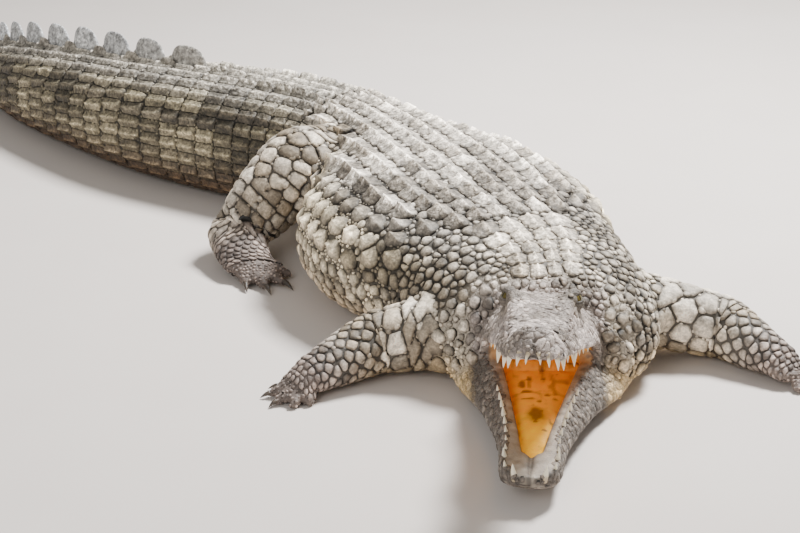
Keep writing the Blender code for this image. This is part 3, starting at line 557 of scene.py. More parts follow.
class Finish:
    """A material made of nodes round one Principled shader."""

    def __init__(self, name):
        self.material = bpy.data.materials.new(name)
        self.material.use_nodes = True
        self.tree = self.material.node_tree
        self.shader = self.tree.nodes["Principled BSDF"]

    def node(self, kind, settings, sockets, output=0):
        """Any node: its type, its settings, the values or wires of its sockets, and the output to use."""
        made = self.tree.nodes.new(kind)
        for name, value in settings.items():
            setattr(made, name, value)
        for name, value in sockets.items():
            if isinstance(value, Wire):
                self.tree.links.new(value.socket, made.inputs[name])
            else:
                made.inputs[name].default_value = value
        return Wire(self, made.outputs[output])

    def attribute(self, name, output="Fac"):
        """A value stored on the mesh."""
        return self.node("ShaderNodeAttribute", {"attribute_name": name}, {}, output)

    def place(self):
        """The place on the object."""
        return self.node("ShaderNodeTexCoord", {}, {}, "Object")

    def noise(self, scale, detail=3.0):
        """Clouds of that many per metre, on the object's own coordinates."""
        return self.node("ShaderNodeTexNoise", {}, {"Vector": self.place(), "Scale": scale, "Detail": detail,
                                                    "Roughness": 0.55}, "Fac")

    def folds(self):
        """Short dark creases across the snout, painted shade of fine folds: broken lines where clouds drawn out
        sideways pass their middle."""
        wide = self.node("ShaderNodeVectorMath", {"operation": "MULTIPLY"},
                         {0: self.place(), 1: (0.3, 1.0, 1.0)})
        cloud = self.node("ShaderNodeTexNoise", {}, {"Vector": wide, "Scale": 70.0, "Detail": 2.0}, "Fac")
        line = 1 - (cloud - 0.5).math("ABSOLUTE").step(0.004, 0.03)
        return line * self.noise(28, 1).step(0.36, 0.54)

    def mix(self, share, a, b):
        """Two colours mixed by a share."""
        a, b = ((*c, 1) if isinstance(c, (tuple, np.ndarray)) else c for c in (a, b))
        return self.node("ShaderNodeMix", {"data_type": "RGBA"}, {0: share, 6: a, 7: b}, 2)

    def scaled(self, colour, factor):
        """A colour times a number."""
        return self.node("ShaderNodeVectorMath", {"operation": "SCALE"}, {0: colour, "Scale": factor})

    def bump(self, height, distance, strength, before=None):
        """A normal bent by a height, over another one if there is one."""
        under = {} if before is None else {"Normal": before}
        return self.node("ShaderNodeBump", {},
                         {"Height": height, "Distance": distance, "Strength": strength, **under})

    def surface(self, colour, roughness=None, normal=None):
        """Feeds the shader and gives the material."""
        for name, wire in (("Base Color", colour), ("Roughness", roughness), ("Normal", normal)):
            if wire is not None:
                self.tree.links.new(wire.socket, self.shader.inputs[name])
        return self.material


def horn_finish(name, dark, pale, edge, deep_at, crust=0.4, spread=0.64, creased=False):
    """Scale horn: the ground colour, darker towards the crevice as painted shade, pale on the crest from wear
    and a painted highlight, dusty and pitted."""
    made = Finish(name)
    hide, rise, tone = made.attribute("hide", "Color"), made.attribute("rise"), made.attribute("tone")
    fine, coarse = made.noise(240, 4), made.noise(60, 3)
    bold = 1 + crust * 0.9
    light = (1 - spread / 2 + tone * spread) * (1 - bold / 2 + coarse * bold) * (0.68 + fine * 0.64)
    light = (light * (1 + (made.noise(125, 2) - 0.5) * 1.8 * crust)) ** 1.45
    # Creased finishes are darkened along fine folds, as painted shade.
    if creased:
        light = light * (1 - made.folds() * 0.5)
    shade = made.scaled(hide, light)
    # The crest is painted pale, partly wear and partly a painted highlight; towards the crevice the colour goes
    # dark as painted shade.
    crest = (rise + (fine - 0.5) * 0.25).step(edge, 1.0)
    crevice = 1 - (rise + (coarse - 0.5) * 0.2).step(0.04, deep_at)
    colour = made.mix(crevice, made.mix(crest, shade, made.scaled(shade, pale)), made.scaled(hide, dark))
    pits = made.bump(fine * 0.6 + made.noise(700, 2) * 0.4, 0.0012, 0.6,
                     made.bump(coarse, 0.003 + 0.004 * crust, crust))
    return made.surface(colour, 0.5 + fine * 0.24 + crevice * 0.1, pits)


# ------------------------------------------------------------------------------
# The skin: body, limbs, toes, head and jaw grown together into one hide without a seam, with folds where they
# meet. It is worked on a space that is stretched round the head, so the head gets finer faces than the body.
SKIN_CELL = 0.0099
HEAD_ZOOM = 2.6
FILL_ROUNDS, FILL_WEIGHT = 22, 0.9


def mesh_of(name, points, faces):
    """A mesh from an array of points and arrays of faces, one array for each number of corners."""
    made = bpy.data.meshes.new(name)
    made.vertices.add(len(points))
    made.vertices.foreach_set("co", points.astype(np.float32).ravel())
    corners = np.concatenate([f.ravel() for f in faces])
    sizes = np.concatenate([np.full(len(f), f.shape[1]) for f in faces])
    made.loops.add(len(corners))
    made.loops.foreach_set("vertex_index", corners.astype(np.int32))
    made.polygons.add(len(sizes))
    made.polygons.foreach_set("loop_start", np.concatenate([[0], np.cumsum(sizes)[:-1]]).astype(np.int32))
    made.update(calc_edges=True)
    made.polygons.foreach_set("use_smooth", np.full(len(sizes), True))
    return made


def store(mesh, **values):
    """Keeps one number at each point, under each name, for the material to read."""
    for name, value in values.items():
        mesh.attributes.new(name, "FLOAT", "POINT").data.foreach_set("value", value.astype(np.float32))


def place_piece(name, mesh, finish):
    """Puts a mesh in the scene as a named piece that rides on the animal."""
    piece = bpy.data.objects.new(name, mesh)
    bpy.context.scene.collection.objects.link(piece)
    mesh.materials.append(finish)
    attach(piece, "root")
    return piece


def closed_loft(rings):
    """Points and faces of a tube through closed rings, with a flat cap at each end."""
    rows, count, _ = rings.shape
    index = np.arange(rows * count).reshape(rows, count)
    beside = np.roll(index, -1, axis=1)
    quads = np.stack([index[:-1], beside[:-1], beside[1:], index[1:]], axis=-1).reshape(-1, 4)
    return rings.reshape(-1, 3), [quads, index[:1, ::-1], index[-1:]]


def joined(lofts):
    """Several meshes, as points and faces, put together as one."""
    points, by_size, start = [], {}, 0
    for place, faces in lofts:
        for face in faces:
            by_size.setdefault(face.shape[1], []).append(face + start)
        points.append(place)
        start += len(place)
    return np.vstack(points), [np.vstack(group) for group in by_size.values()]


def stretch_table():
    """Forward distance from the shoulders, the zoom there, and the sum of the zoom up to there."""
    ahead = np.linspace(-3, 1.2, 2101)
    zoom = 1 + (HEAD_ZOOM - 1) * fade(ahead, -0.06, 0.1)
    return ahead, zoom, np.cumsum(zoom) * (ahead[1] - ahead[0])


AHEAD, ZOOM, AHEAD_SUM = stretch_table()


def stretched(points, undo=False):
    """Space drawn out round the head: sideways and upwards by the zoom, and forwards by its running sum."""
    resized = np.divide if undo else np.multiply
    ahead = np.interp(-points[:, 1], AHEAD_SUM, AHEAD) if undo else NAPE[1] - points[:, 1]
    zoom = np.interp(ahead, AHEAD, ZOOM)
    along = NAPE[1] - ahead if undo else -np.interp(ahead, AHEAD, AHEAD_SUM)
    return np.column_stack([HEAD_MIDDLE + resized(points[:, 0] - HEAD_MIDDLE, zoom), along,
                            resized(points[:, 2], zoom)])


def grown_together(points, faces, cell):
    """The outside of overlapping closed meshes as one mesh of even cells."""
    raw = bpy.data.objects.new("raw", mesh_of("raw", stretched(points), faces))
    bpy.context.scene.collection.objects.link(raw)
    step = raw.modifiers.new("cells", "REMESH")
    step.mode, step.voxel_size, step.adaptivity = "VOXEL", cell, 0
    mesh = bpy.data.meshes.new_from_object(raw.evaluated_get(bpy.context.evaluated_depsgraph_get()))
    bpy.data.objects.remove(raw)
    place = np.empty(len(mesh.vertices) * 3)
    mesh.vertices.foreach_get("co", place)
    corners = np.empty(len(mesh.loops), int)
    mesh.loops.foreach_get("vertex_index", corners)
    bpy.data.meshes.remove(mesh)
    return stretched(place.reshape(-1, 3), undo=True), corners.reshape(-1, 4)


def edges_of(quads):
    """Each pair of joined points, once each way."""
    pairs = np.vstack([quads[:, [k, (k + 1) % 4]] for k in range(4)])
    return np.vstack([pairs, pairs[:, ::-1]])


def neighbour_mean(place, pairs):
    """The mean of each point's neighbours."""
    count = np.bincount(pairs[:, 0], minlength=len(place))[:, None]
    return np.stack([np.bincount(pairs[:, 0], place[pairs[:, 1], k], len(place)) for k in range(3)],
                    axis=1) / count


def point_normals(place, quads):
    """The outward direction at each point, from the faces round it."""
    flat = np.cross(place[quads[:, 2]] - place[quads[:, 0]], place[quads[:, 3]] - place[quads[:, 1]])
    total = np.stack([np.bincount(quads.ravel(), np.repeat(flat[:, k], 4), len(place)) for k in range(3)],
                     axis=1)
    return unit(total)


lofts = [closed_loft(rings) for rings in (body.grid[:, :-1], upper, lower)]
for name in LIMBS:
    lofts += [closed_loft(bone_rings(name, bone, *ends)) for bone, ends in enumerate([(0, 1), (1, 2), (1.9, 3)])]
    lofts += [closed_loft(digit_grid(line, girth, across)) for line, girth, _, across, _ in digit_lines(name)]
skin_place, skin_quads = grown_together(*joined(lofts), SKIN_CELL)
skin_pairs = edges_of(skin_quads)
for _ in range(2):
    skin_place = skin_place + (neighbour_mean(skin_place, skin_pairs) - skin_place) * 0.5

# The flesh runs smoothly from trunk to limb and from bone to bone: the creases between the forms are filled, as
# a point moves to the mean of its neighbours only where that lies outwards of it.
_, _, limb_away = limb_measure(skin_place)
off_jaws = (fade(skin_place[:, 1], NAPE[1] - 0.06, NAPE[1] + 0.02)
            + fade(np.abs(skin_place[:, 0] - HEAD_MIDDLE), 0.17, 0.22))
filling = FILL_WEIGHT * np.clip(off_jaws, 0, 1) * (limb_away < 0.16)
for _ in range(FILL_ROUNDS):
    skin_normal = point_normals(skin_place, skin_quads)
    outward = ((neighbour_mean(skin_place, skin_pairs) - skin_place) * skin_normal).sum(axis=1)
    skin_place = skin_place + skin_normal * (np.maximum(outward, 0) * filling)[:, None]
skin_place = lifted(skin_place, SKIN_LOW)
skin_normal = point_normals(skin_place, skin_quads)


def wrinkles(points, size, seed):
    """Fine folded ridges: 1 on the lines where two soft fields of blotches are equal, falling to 0 beside
    them."""
    gap = np.abs(mottle(points, size, seed) - mottle(points, size, seed + 5))
    return 1 - fade(gap, 0.0, 0.18)


def mouth_share(points):
    """1 on the lining of the mouth, 0 on the outer skin, from the place in each jaw's own measure."""
    back, out, up = head_measure(LOWER_PITCH, points)
    lower = fade(ease(back, JAW_WIDTH) * 0.86 - np.abs(out), -0.006, 0.006) * (back < 1.03)
    lower = lower * (up < 0.05) * (up > -0.05 - 0.035 * fade(back, 0.03, 0.1))
    back, out, up = head_measure(UPPER_PITCH, points)
    upper = fade(ease(back, SNOUT_WIDTH) * 0.86 - np.abs(out), -0.004, 0.008) * (back < 1.0) * (back > 0.03)
    upper = upper * (up < ease(back, PALATE) + 0.012) * (up > -0.16 * fade(back, 0.3, 1))
    return np.maximum(lower, upper)


def bump_at(points, centre, radius):
    """1 at the centre, falling to 0 at the radius: the square of 1 - (distance / radius) ** 2."""
    gap = np.linalg.norm(points - centre, axis=1) / radius
    return np.clip(1 - gap**2, 0, None) ** 2


def cells(points, size, seed):
    """Distance to the edge between random cells of that size, as a share of it: far less second less nearest."""
    p = points / size + seed * 3.7
    corner = np.floor(p).astype(np.int64)
    near = np.full((2, len(p)), 9.0)
    for step in range(27):
        cube = corner + np.array([step % 3 - 1, step // 3 % 3 - 1, step // 9 - 1])
        h = hashed(cube, seed)
        spot = []
        for _ in range(3):
            h = scrambled(h)
            spot.append(h / 0x7FFFFFFF)
        gap = np.linalg.norm(cube + np.stack(spot, axis=1) - p, axis=1)
        near = np.sort(np.vstack([near, gap]), axis=0)[:2]
    return near[1] - near[0]


on_head = fade(JAW_JOINT[1] + 0.03 - skin_place[:, 1], 0, 0.05) * (np.abs(skin_place[:, 0] - HEAD_MIDDLE) < 0.2)
mouth = mouth_share(skin_place) * on_head
outer = on_head * (1 - mouth)
back, out, up = head_measure(UPPER_PITCH, skin_place)
on_upper = outer * (up > -0.02)
# Lengthwise the skull's skin is folded more finely than across, so its cells are squeezed along the snout.
squeezed = np.stack([back * HEAD * 1.5, out * HEAD, up * HEAD], axis=1)
lumps = fade(cells(squeezed, 0.02, 4), 0.0, 0.35) * 0.6 + fade(cells(squeezed, 0.011, 6), 0.0, 0.4) * 0.4
creases = wrinkles(squeezed * np.array([1.6, 0.8, 1]), 0.022, 30) * on_upper * (back < 0.66) * (back > 0.08)
relief = (lumps - 0.6) * 0.0034 * outer - creases * 0.0022
for side in (-1, 1):
    # A raised brow, and a nostril on its button near the tip.
    relief += 0.004 * on_upper * bump_at(skin_place, head_point(UPPER_PITCH, 0.67, side * 0.11, 0.196), 0.03)
    nostril = head_point(UPPER_PITCH, 0.052, side * 0.03, 0.1)
    relief += 0.006 * on_upper * bump_at(skin_place, nostril, 0.02)
    relief -= 0.008 * on_upper * bump_at(skin_place, nostril + head_axes(UPPER_PITCH)[1] * side * 0.004, 0.0075)
# The same low ridge runs back along both sides of the snout.
ridge = np.exp(-((np.abs(out) - 0.085 - 0.02 * back) / 0.02) ** 2) * fade(back, 0.2, 0.3)
relief += 0.008 * on_upper * ridge * (1 - fade(back, 0.55, 0.68)) * (up > 0.05)
nostrils = sum(bump_at(skin_place, head_point(UPPER_PITCH, 0.052, side * 0.036, 0.106), 0.009)
               for side in (-1, 1))
skin_place = skin_place + skin_normal * (relief + outer * 0.0012)[:, None]
skin_place = lifted(skin_place, RELIEF_LOW)
rugose_and_lid_shade = np.clip(lumps - creases * 0.8 - nostrils * 1.5, 0, 1)


def mouth_colour(points):
    """Orange-yellow floor, deeper orange towards the throat with a brown smear in its middle, and a wide band of
    grey-beige gum along the teeth."""
    back, out, up = head_measure(LOWER_PITCH, points)
    yellow, orange, brown = linear(255, 196, 46), linear(255, 180, 62), linear(84, 42, 16)
    warm = mix(yellow, orange, fade(back + (mottle(points, 0.03, 7) - 0.5) * 0.16, 0.4, 0.6))
    patchy = 0.3 + 1.1 * mottle(points, 0.008, 9)
    smear = 1.5 * np.exp(-((back - 0.5) / 0.05) ** 2 - (out / 0.028) ** 2) * (0.5 + patchy * 0.5)
    smear += 0.35 * np.exp(-((back - 0.68 + 0.012 * np.sin(out * 50)) / 0.009) ** 2) * patchy
    smear += 0.8 * fade(mottle(points, 0.014, 12), 0.74, 0.9)
    smear += 0.55 * fade(mottle(points * np.array([2.2, 0.8, 0.8]), 0.02, 14), 0.6, 0.9) * fade(back, 0.45, 0.75)
    warm = mix(warm, brown, np.clip(smear, 0, 0.85))
    gum = mix(linear(160, 150, 137), linear(110, 102, 92), mottle(points, 0.012, 5))
    floor_edge = ease(back, JAW_WIDTH) * (1 - ease(back, GUM_WIDTH))
    shelf = np.abs(out) - floor_edge + (mottle(points, 0.02, 6) - 0.5) * 0.006
    on_gum = np.maximum(fade(shelf, -0.003, 0.003), 1 - fade(back, 0.165, 0.185)) * (up < 0.05)
    warm = mix(warm, gum, on_gum * (1 - fade(back, 0.82, 0.94)))
    # A dark line where the gum steps down to the floor, painted shade of the step.
    gum_step_shade = np.exp(-(shelf / 0.005) ** 2) * (up < 0.05) * (back < 0.85)
    return warm * ((0.92 + 0.32 * mottle(points, 0.012, 8)) * (1 - 0.6 * gum_step_shade))[:, None]


def give_colours(mesh, colour, rise, tone):
    """Stores each point's ground colour, height share and tone for the material to read; by the height share the
    material paints highlight and shade.
    """
    hide = mesh.attributes.new("hide", "FLOAT_COLOR", "POINT")
    hide.data.foreach_set("color", np.column_stack([colour, np.ones(len(colour))]).astype(np.float32).ravel())
    store(mesh, rise=rise, tone=tone)


def eye_frame(side):
    """Centre of an eye, its looking direction, and the directions across and up its front."""
    forward, left, top = head_axes(UPPER_PITCH)
    axis = unit(left * side * 0.72 + forward * 0.6 + top * 0.34)
    return head_point(UPPER_PITCH, EYE_BACK, side * EYE_OUT, EYE_UP), axis, *crosswise(axis)


LID_STEPS = np.array([-0.06, 0, 0.05, 0.11, 0.19, 0.28, 0.38, 0.5, 0.63, 0.78, 0.98, 1.25])
LID_RADII = np.array([0.96, 1.09, 1.16, 1.17, 1.13, 1.18, 1.24, 1.19, 1.24, 1.27, 1.19, 1.0])
# How light each ring of the lids is painted: lighter on the tops of the folds, darker in the grooves between
# them and at the rim by the eye, as painted highlight and painted shade.
LID_LIGHT = np.array([0, 0.1, 0.55, 0.5, 0.15, 0.6, 0.9, 0.3, 0.7, 0.8, 0.5, 0.3])


def lid_rings(side):
    """Lids as rings round an eye. At turn t the opening's edge lies ((cos t / 0.98) ** 1.6 + (sin t / b) ** 1.6)
    ** (-1 / 1.6) from the looking direction, b being 0.4 above and 0.3 below; the folds stand further out."""
    centre, axis, across, upward = eye_frame(side)
    turn = np.arange(72) * 2 * math.pi / 72
    c, s = np.cos(turn), np.sin(turn)
    edge = ((np.abs(c) / 0.98) ** 1.6 + (np.abs(s) / np.where(s > 0, 0.4, 0.3)) ** 1.6) ** (-1 / 1.6)
    polar = edge[None] + LID_STEPS[:, None]
    brow = 0.14 * np.clip(s, 0, 1) * np.clip(LID_STEPS * 6, 0, 1)[:, None] * (LID_RADII > 1)[:, None]
    far = LID_RADII[:, None] + brow
    far = far + 0.03 * np.sin(turn * 9 + LID_STEPS[:, None] * 14) * (LID_STEPS > 0.1)[:, None]
    aim = (np.cos(polar)[..., None] * axis
           + np.sin(polar)[..., None] * (c[:, None] * across + s[:, None] * upward))
    return centre + aim * (far * EYE_RADIUS)[..., None]


# The lids are part of the hide: their outer rims run in under the brow.
start = len(skin_place)
for points, faces in (closed_loft(lid_rings(side)) for side in (1, -1)):
    skin_quads = np.vstack([skin_quads, faces[0] + len(skin_place)])
    skin_place = np.vstack([skin_place, points])
extra = len(skin_place) - start
mouth, outer = np.concatenate([mouth, np.zeros(extra)]), np.concatenate([outer, np.full(extra, 0.4)])
rugose_and_lid_shade = np.concatenate([rugose_and_lid_shade, np.tile(np.repeat(LID_LIGHT, 72), 2)])
skin_mesh = mesh_of("skin", skin_place, [skin_quads])
ground = hide_colour(skin_place)
skin_colour = ground * (1 - mouth)[:, None] + mouth_colour(skin_place) * mouth[:, None]
# Under the coat the hide is painted dark, as shade in the crevices between the scales; the lids and the mouth
# are bare and light.
on_foot = fade(limb_measure(skin_place)[1], 2.0, 2.4) * (spine_measure(skin_place)[2] < 0.4)
bare = np.maximum(np.maximum(outer * 0.72, mouth), 0.45 * on_foot)
# The lids take their painted highlight and painted shade in the folds.
bare[start:] = 0.1 + 0.55 * rugose_and_lid_shade[start:]
give_colours(skin_mesh, skin_colour, np.clip(0.06 + 0.94 * bare, 0, 1), np.full(len(skin_place), 0.5))
store(skin_mesh, mouth=mouth, plated=outer)

made = Finish("scaly_hide")
hide, rise = made.attribute("hide", "Color"), made.attribute("rise")
wet, plated = made.attribute("mouth"), made.attribute("plated")
fine, coarse = made.noise(210, 4), made.noise(70, 3)
# Fine cracks run between small flat plates all over the bare skin of the head.
cloud = made.node("ShaderNodeTexNoise", {}, {"Vector": made.place(), "Scale": 90.0}, "Color")
bent = made.node("ShaderNodeVectorMath", {"operation": "MULTIPLY_ADD"},
                 {0: cloud, 1: (0.006, 0.006, 0.006), 2: made.place()})
crack = made.node("ShaderNodeTexVoronoi", {"feature": "DISTANCE_TO_EDGE"}, {"Vector": bent, "Scale": 115.0},
                  "Distance")
open_crack = (1 - crack.step(0.0, 0.13)) * plated
# Skin with a low rise, under the coat, is painted dark as shade in the crevices between the scales, and the
# cracks are painted darker as shade.
light = (0.1 + rise * 0.94) * (0.66 + coarse * 0.68) * (1 - open_crack * 0.22)
pits = made.bump(fine - open_crack * 0.9, 0.002, 0.8, made.bump(coarse, 0.004, 0.5))
hide_material = made.surface(made.scaled(hide, light), 0.5 + fine * 0.3 - wet * 0.04, pits)
skin = place_piece("skin", skin_mesh, hide_material)
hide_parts("neck", "trunk", "tail_base", "tail_middle", "tail_tip", "head", "lower_jaw",
            *(f"{part}_{side}" for side in ("left", "right")
              for part in ("upper_arm", "forearm", "hand", "thigh", "shank", "foot")))


# ------------------------------------------------------------------------------
# The coat. Each scale is a solid plate of horn that stands on the skin with its rim just under it. Scales grow
# from roots until they meet their neighbours, so a field of them fills the hide with only thin crevices left.
def plate_pattern(angle, rings):
    """Reach from the middle and angle of a scale's points, and its faces: a fan, rings of quads and a base."""
    sides = len(angle)
    reach = np.concatenate([[0], np.repeat(rings, sides)])
    turn = np.concatenate([[0], np.tile(angle, len(rings))])
    index = 1 + np.arange(len(rings) * sides).reshape(-1, sides)
    after = np.roll(index, -1, axis=1)
    fan = np.column_stack([np.zeros(sides, int), index[0], after[0]])
    quads = np.stack([index[:-1], index[1:], after[1:], after[:-1]], axis=-1).reshape(-1, 4)
    return reach, turn, [fan, quads, index[-1:, ::-1]]


def even_turns(sides):
    """Angles evenly round a scale."""
    return np.arange(sides) * 2 * math.pi / sides


KEELED_TURNS = np.radians([0, 11, 32, 46, 66, 90, 114, 134, 148, 169, 180, 191, 212, 226, 246, 270, 294, 314,
                           328, 349])
LARGE = plate_pattern(KEELED_TURNS, [0.35, 0.68, 0.9, 1.0])
MEDIUM = plate_pattern(even_turns(13), [0.5, 0.84, 1.0])
SMALL = plate_pattern(even_turns(7), [0.66, 1.0])
skin_tree = BVHTree.FromPolygons(skin_place.tolist(), skin_quads.tolist())


def tree_of(places):
    """A search tree over places."""
    tree = kdtree.KDTree(len(places))
    for number, place in enumerate(places.tolist()):
        tree.insert(place, number)
    tree.balance()
    return tree


def drawn_out(sheet, joints):
    """A limb drawn out to the skin: each point goes along the line from its ring's middle until it meets the
    skin, if that is within 2.2 times its own distance. Distances along it are then taken on the outside of its
    bends, where its plates are widest."""
    middle = sheet.grid[:, :-1].mean(axis=1, keepdims=True) + 0 * sheet.grid
    away = sheet.grid - middle
    reach = np.ones(away.shape[:2])
    for spot in np.ndindex(reach.shape):
        length = float(np.linalg.norm(away[spot]))
        hit = skin_tree.ray_cast(tuple(middle[spot]), tuple(away[spot] / length), length * 2.2)
        reach[spot] = hit[3] / length if hit[0] else 1.0
    kernel = np.array([0.25, 0.5, 0.25])
    for _ in range(2):
        padded = np.pad(reach, 1, mode="edge")
        reach = sum(kernel[i] * kernel[j] * padded[i:i + reach.shape[0], j:j + reach.shape[1]]
                    for i in range(3) for j in range(3))
    grid = Sheet(sheet.along, middle + away * reach[..., None]).grid
    step = np.percentile(np.linalg.norm(np.diff(grid, axis=0), axis=2), 80, axis=1)
    along = np.concatenate([[0], np.cumsum(step + 1e-6)])
    return Sheet(along, grid), np.interp(joints, sheet.along, along)


DEEPEST, HIGHEST = 0.009, 0.02


def settled(root):
    """How far each root must move to lie on the skin, and whether it isn't buried under another part of it."""
    found = [skin_tree.find_nearest(tuple(p)) for p in root]
    nearest, normal = (np.array([tuple(f[k]) for f in found]).reshape(-1, 3) for k in (0, 1))
    move = nearest - root
    under = (move * normal).sum(-1)
    return move, (under < DEEPEST) & (under > -HIGHEST)


def cell_reach(offset, size, other, turn, gap, rounding, most=1.4):
    """How far each scale reaches at each angle. Two neighbours at distance d meet on the line that lies
    (d * d + a * a - b * b) / (2 * d) from the first, where a and b are their sizes; the reach is the soft
    minimum over the neighbours, and never more than most sizes."""
    far = np.maximum(np.linalg.norm(offset, axis=2), 1e-4)
    line = (far**2 + size[:, None] ** 2 - other**2) / (2 * far)
    line = np.maximum(line, 0.2 * size[:, None])
    facing = np.einsum("nkc,cm->nkm", offset / far[..., None], np.stack([np.cos(turn), np.sin(turn)]))
    pull = (np.maximum(facing, 0) / line[..., None]) ** rounding
    total = pull.sum(axis=1) + (1 / (most * size[:, None])) ** rounding
    return total ** (-1 / rounding) - gap / 2


def sheet_neighbours(sheet, along, across, size):
    """Offsets to the fourteen nearest roots of a sheet, also across its open edge, and their sizes."""
    girth = sheet.half_girth(along)
    copies = np.concatenate([np.stack([along, across + 2 * girth * k], axis=1) for k in (-1, 0, 1)])
    near = np.abs(copies[:, 1]) < np.tile(girth, 3) + 0.07
    copies, sizes = copies[near], np.tile(size, 3)[near]
    tree = tree_of(np.column_stack([copies, 0 * sizes]))
    found = np.array([[i for _, i, _ in tree.find_n((a, c, 0), 15)][1:]
                      for a, c in zip(along.tolist(), across.tolist())])
    return copies[found] - np.stack([along, across], axis=1)[:, None], sizes[found]


def scale_form(pattern, edge, tall, keel=0.0, dome=0.0, lift=0.0, sharp=0.15, ragged=0.03, long_keel=0.5):
    """The points of scales with those reaches: ahead, aside, both also as shares, height over the skin and how
    light each point is painted: a painted highlight on the crest and keel, painted shade towards the rim. Height
    at share r of the reach is tall * (1 - r ** 6) ** 0.5 + dome * (1 - r * r), with a keel down the middle that
    rises towards the tail."""
    reach, turn, _ = pattern
    n = len(edge)
    tall, keel, dome, lift = (np.broadcast_to(np.asarray(v, float), n)[:, None]
                              for v in (tall, keel, dome, lift))
    phase = chance.uniform(0, 6.3, (4, n, 1))
    edge = edge * (1 + ragged * (np.sin(2 * turn + phase[0]) + np.sin(3 * turn + phase[1]) * 0.8
                                 + np.sin(5 * turn + phase[2]) * 0.6))
    u, v = reach * edge * np.cos(turn), reach * edge * np.sin(turn)
    x, y = (w / np.maximum(np.abs(w).max(axis=1, keepdims=True), 1e-5) for w in (u, v))
    slope = long_keel + (1 - long_keel) * np.clip(x * 0.7 + 0.5, 0, 1)
    ridge = np.exp(-np.abs(y) / sharp) * slope * (1 - reach**14)
    flat = tall * np.sqrt(1 - reach**6) + dome * (1 - reach**2)
    rough = 0.2 * tall * np.sin(x * 7 + phase[0]) * np.sin(y * 6 + phase[1])
    rise = flat + keel * ridge + (lift * (x * 0.5 + 0.5) + rough) * (1 - reach**8)
    rise = np.where(reach == 1, -0.0025, rise)
    light = np.clip(0.66 * flat / (tall + dome) + 0.4 * ridge * np.clip(keel / 0.006, 0, 1), 0, 1)
    return u, v, x, y, rise, light


PATCH = 0.0015


def batch(place, faces, light, share, island, x, y, root, dullest=0):
    """A field of scales for coat_piece. On the unwrap each is a patch about 0.003 across at its root's place."""
    low, extent = np.array(island[:2]), np.array(island[2:]) - island[:2]
    return {"place": place, "faces": faces, "rise": light, "root": root,
            "uv": (low + share * extent)[:, None] + np.stack([x, y], axis=-1) * PATCH,
            "tone": chance.uniform(dullest, 1, len(place))}


def body_share(s, across):
    """Places on the body's island, from distances along the spine and shares round the body."""
    return np.column_stack([(s - BODY_S[0]) / (BODY_S[-1] - BODY_S[0]), across])


def scales(pattern, sheet, chosen, along, across, size, gap, rounding, island, kept_on, most=1.4, **form):
    """The chosen ones of a whole field of scales on a sheet, each with its form; buried ones are left out."""
    offset, other = sheet_neighbours(sheet, along, across, size)
    edge = cell_reach(offset[chosen], size[chosen], other[chosen], pattern[1], gap, rounding, most)
    along, across = along[chosen], across[chosen]
    root, _ = sheet.at(along, across)
    move, kept = settled(root)
    kept &= kept_on(root + move)
    along, across, move = along[kept], across[kept], move[kept]
    form = {key: value[kept] if np.ndim(value) else value for key, value in form.items()}
    u, v, x, y, rise, light = scale_form(pattern, edge[kept], **form)
    place, normal = sheet.at(along[:, None] + u, across[:, None] + v)
    place = lifted(place + move[:, None] + normal * rise[..., None], SCALE_LOW)
    faces = [f[:, ::-1] for f in pattern[2]] if sheet.turn < 0 else pattern[2]
    share = np.column_stack([(along - sheet.along[0]) / (sheet.along[-1] - sheet.along[0]),
                             across / sheet.half_girth(along) * 0.5 + 0.5])
    return batch(place, faces, light, share, island, x, y, place.mean(axis=1))


LEANING = np.array([0.3, 0.2, 0.93])


def free_scales(pattern, spot, normal, size, gap, rounding=8, most=1.4, **form):
    """Scales rooted on spots of the skin itself, each in the spot's own plane."""
    side, ahead = crosswise(normal, LEANING)
    tree = tree_of(spot)
    found = np.array([[i for _, i, _ in tree.find_n(p, 13)][1:] for p in spot.tolist()])
    to_next = spot[found] - spot[:, None]
    offset = np.stack([(to_next * ahead[:, None]).sum(-1), (to_next * side[:, None]).sum(-1)], axis=2)
    edge = cell_reach(offset, size, size[found], pattern[1], gap, rounding, most)
    u, v, x, y, rise, light = scale_form(pattern, edge, **form)
    place = (spot[:, None] + u[..., None] * ahead[:, None] + v[..., None] * side[:, None]
             + normal[:, None] * rise[..., None])
    s, aside, height = spine_measure(spot)
    share = body_share(s, 0.5 + np.sign(aside) * (1 - np.clip(height, 0, 1)) * 0.5)
    return batch(lifted(place, SCALE_LOW), pattern[2], light, share, BODY_ISLAND, x, y, spot)


def repeated(faces, count, points):
    """The faces of one shape of so many points, for count such shapes one after the other."""
    starts = (np.arange(count) * points)[:, None, None]
    return [(f[None] + starts).reshape(-1, f.shape[1]) for f in faces]


COVERED = []


def coat_piece(name, batches, finish):
    """Joins fields of scales into one piece, with their colours and their patches on the hide's unwrap."""
    batches = [b for b in batches if len(b["place"])]
    lofts, rise, tone, uv, colour = [], [], [], [], []
    for b in batches:
        n, k = b["rise"].shape
        lofts.append((b["place"].reshape(-1, 3), repeated(b["faces"], n, k)))
        rise.append(b["rise"].ravel())
        tone.append(np.repeat(b["tone"], k))
        uv.append(b["uv"].reshape(-1, 2))
        colour.append(np.repeat(hide_colour(b["root"]), k, axis=0))
        COVERED.append(b["place"][:, ::2].reshape(-1, 3))
    mesh = mesh_of(name, *joined(lofts))
    give_colours(mesh, np.vstack(colour), np.concatenate(rise), np.concatenate(tone))
    layer = mesh.uv_layers.new(name="OFBake")
    corners = np.empty(len(mesh.loops), np.int32)
    mesh.loops.foreach_get("vertex_index", corners)
    layer.uv.foreach_set("vector", np.vstack(uv)[corners].astype(np.float32).ravel())
    piece = place_piece(name, mesh, finish)


def jitter(n, size):
    """So many random shifts of about that size."""
    return chance.normal(0, size, n)


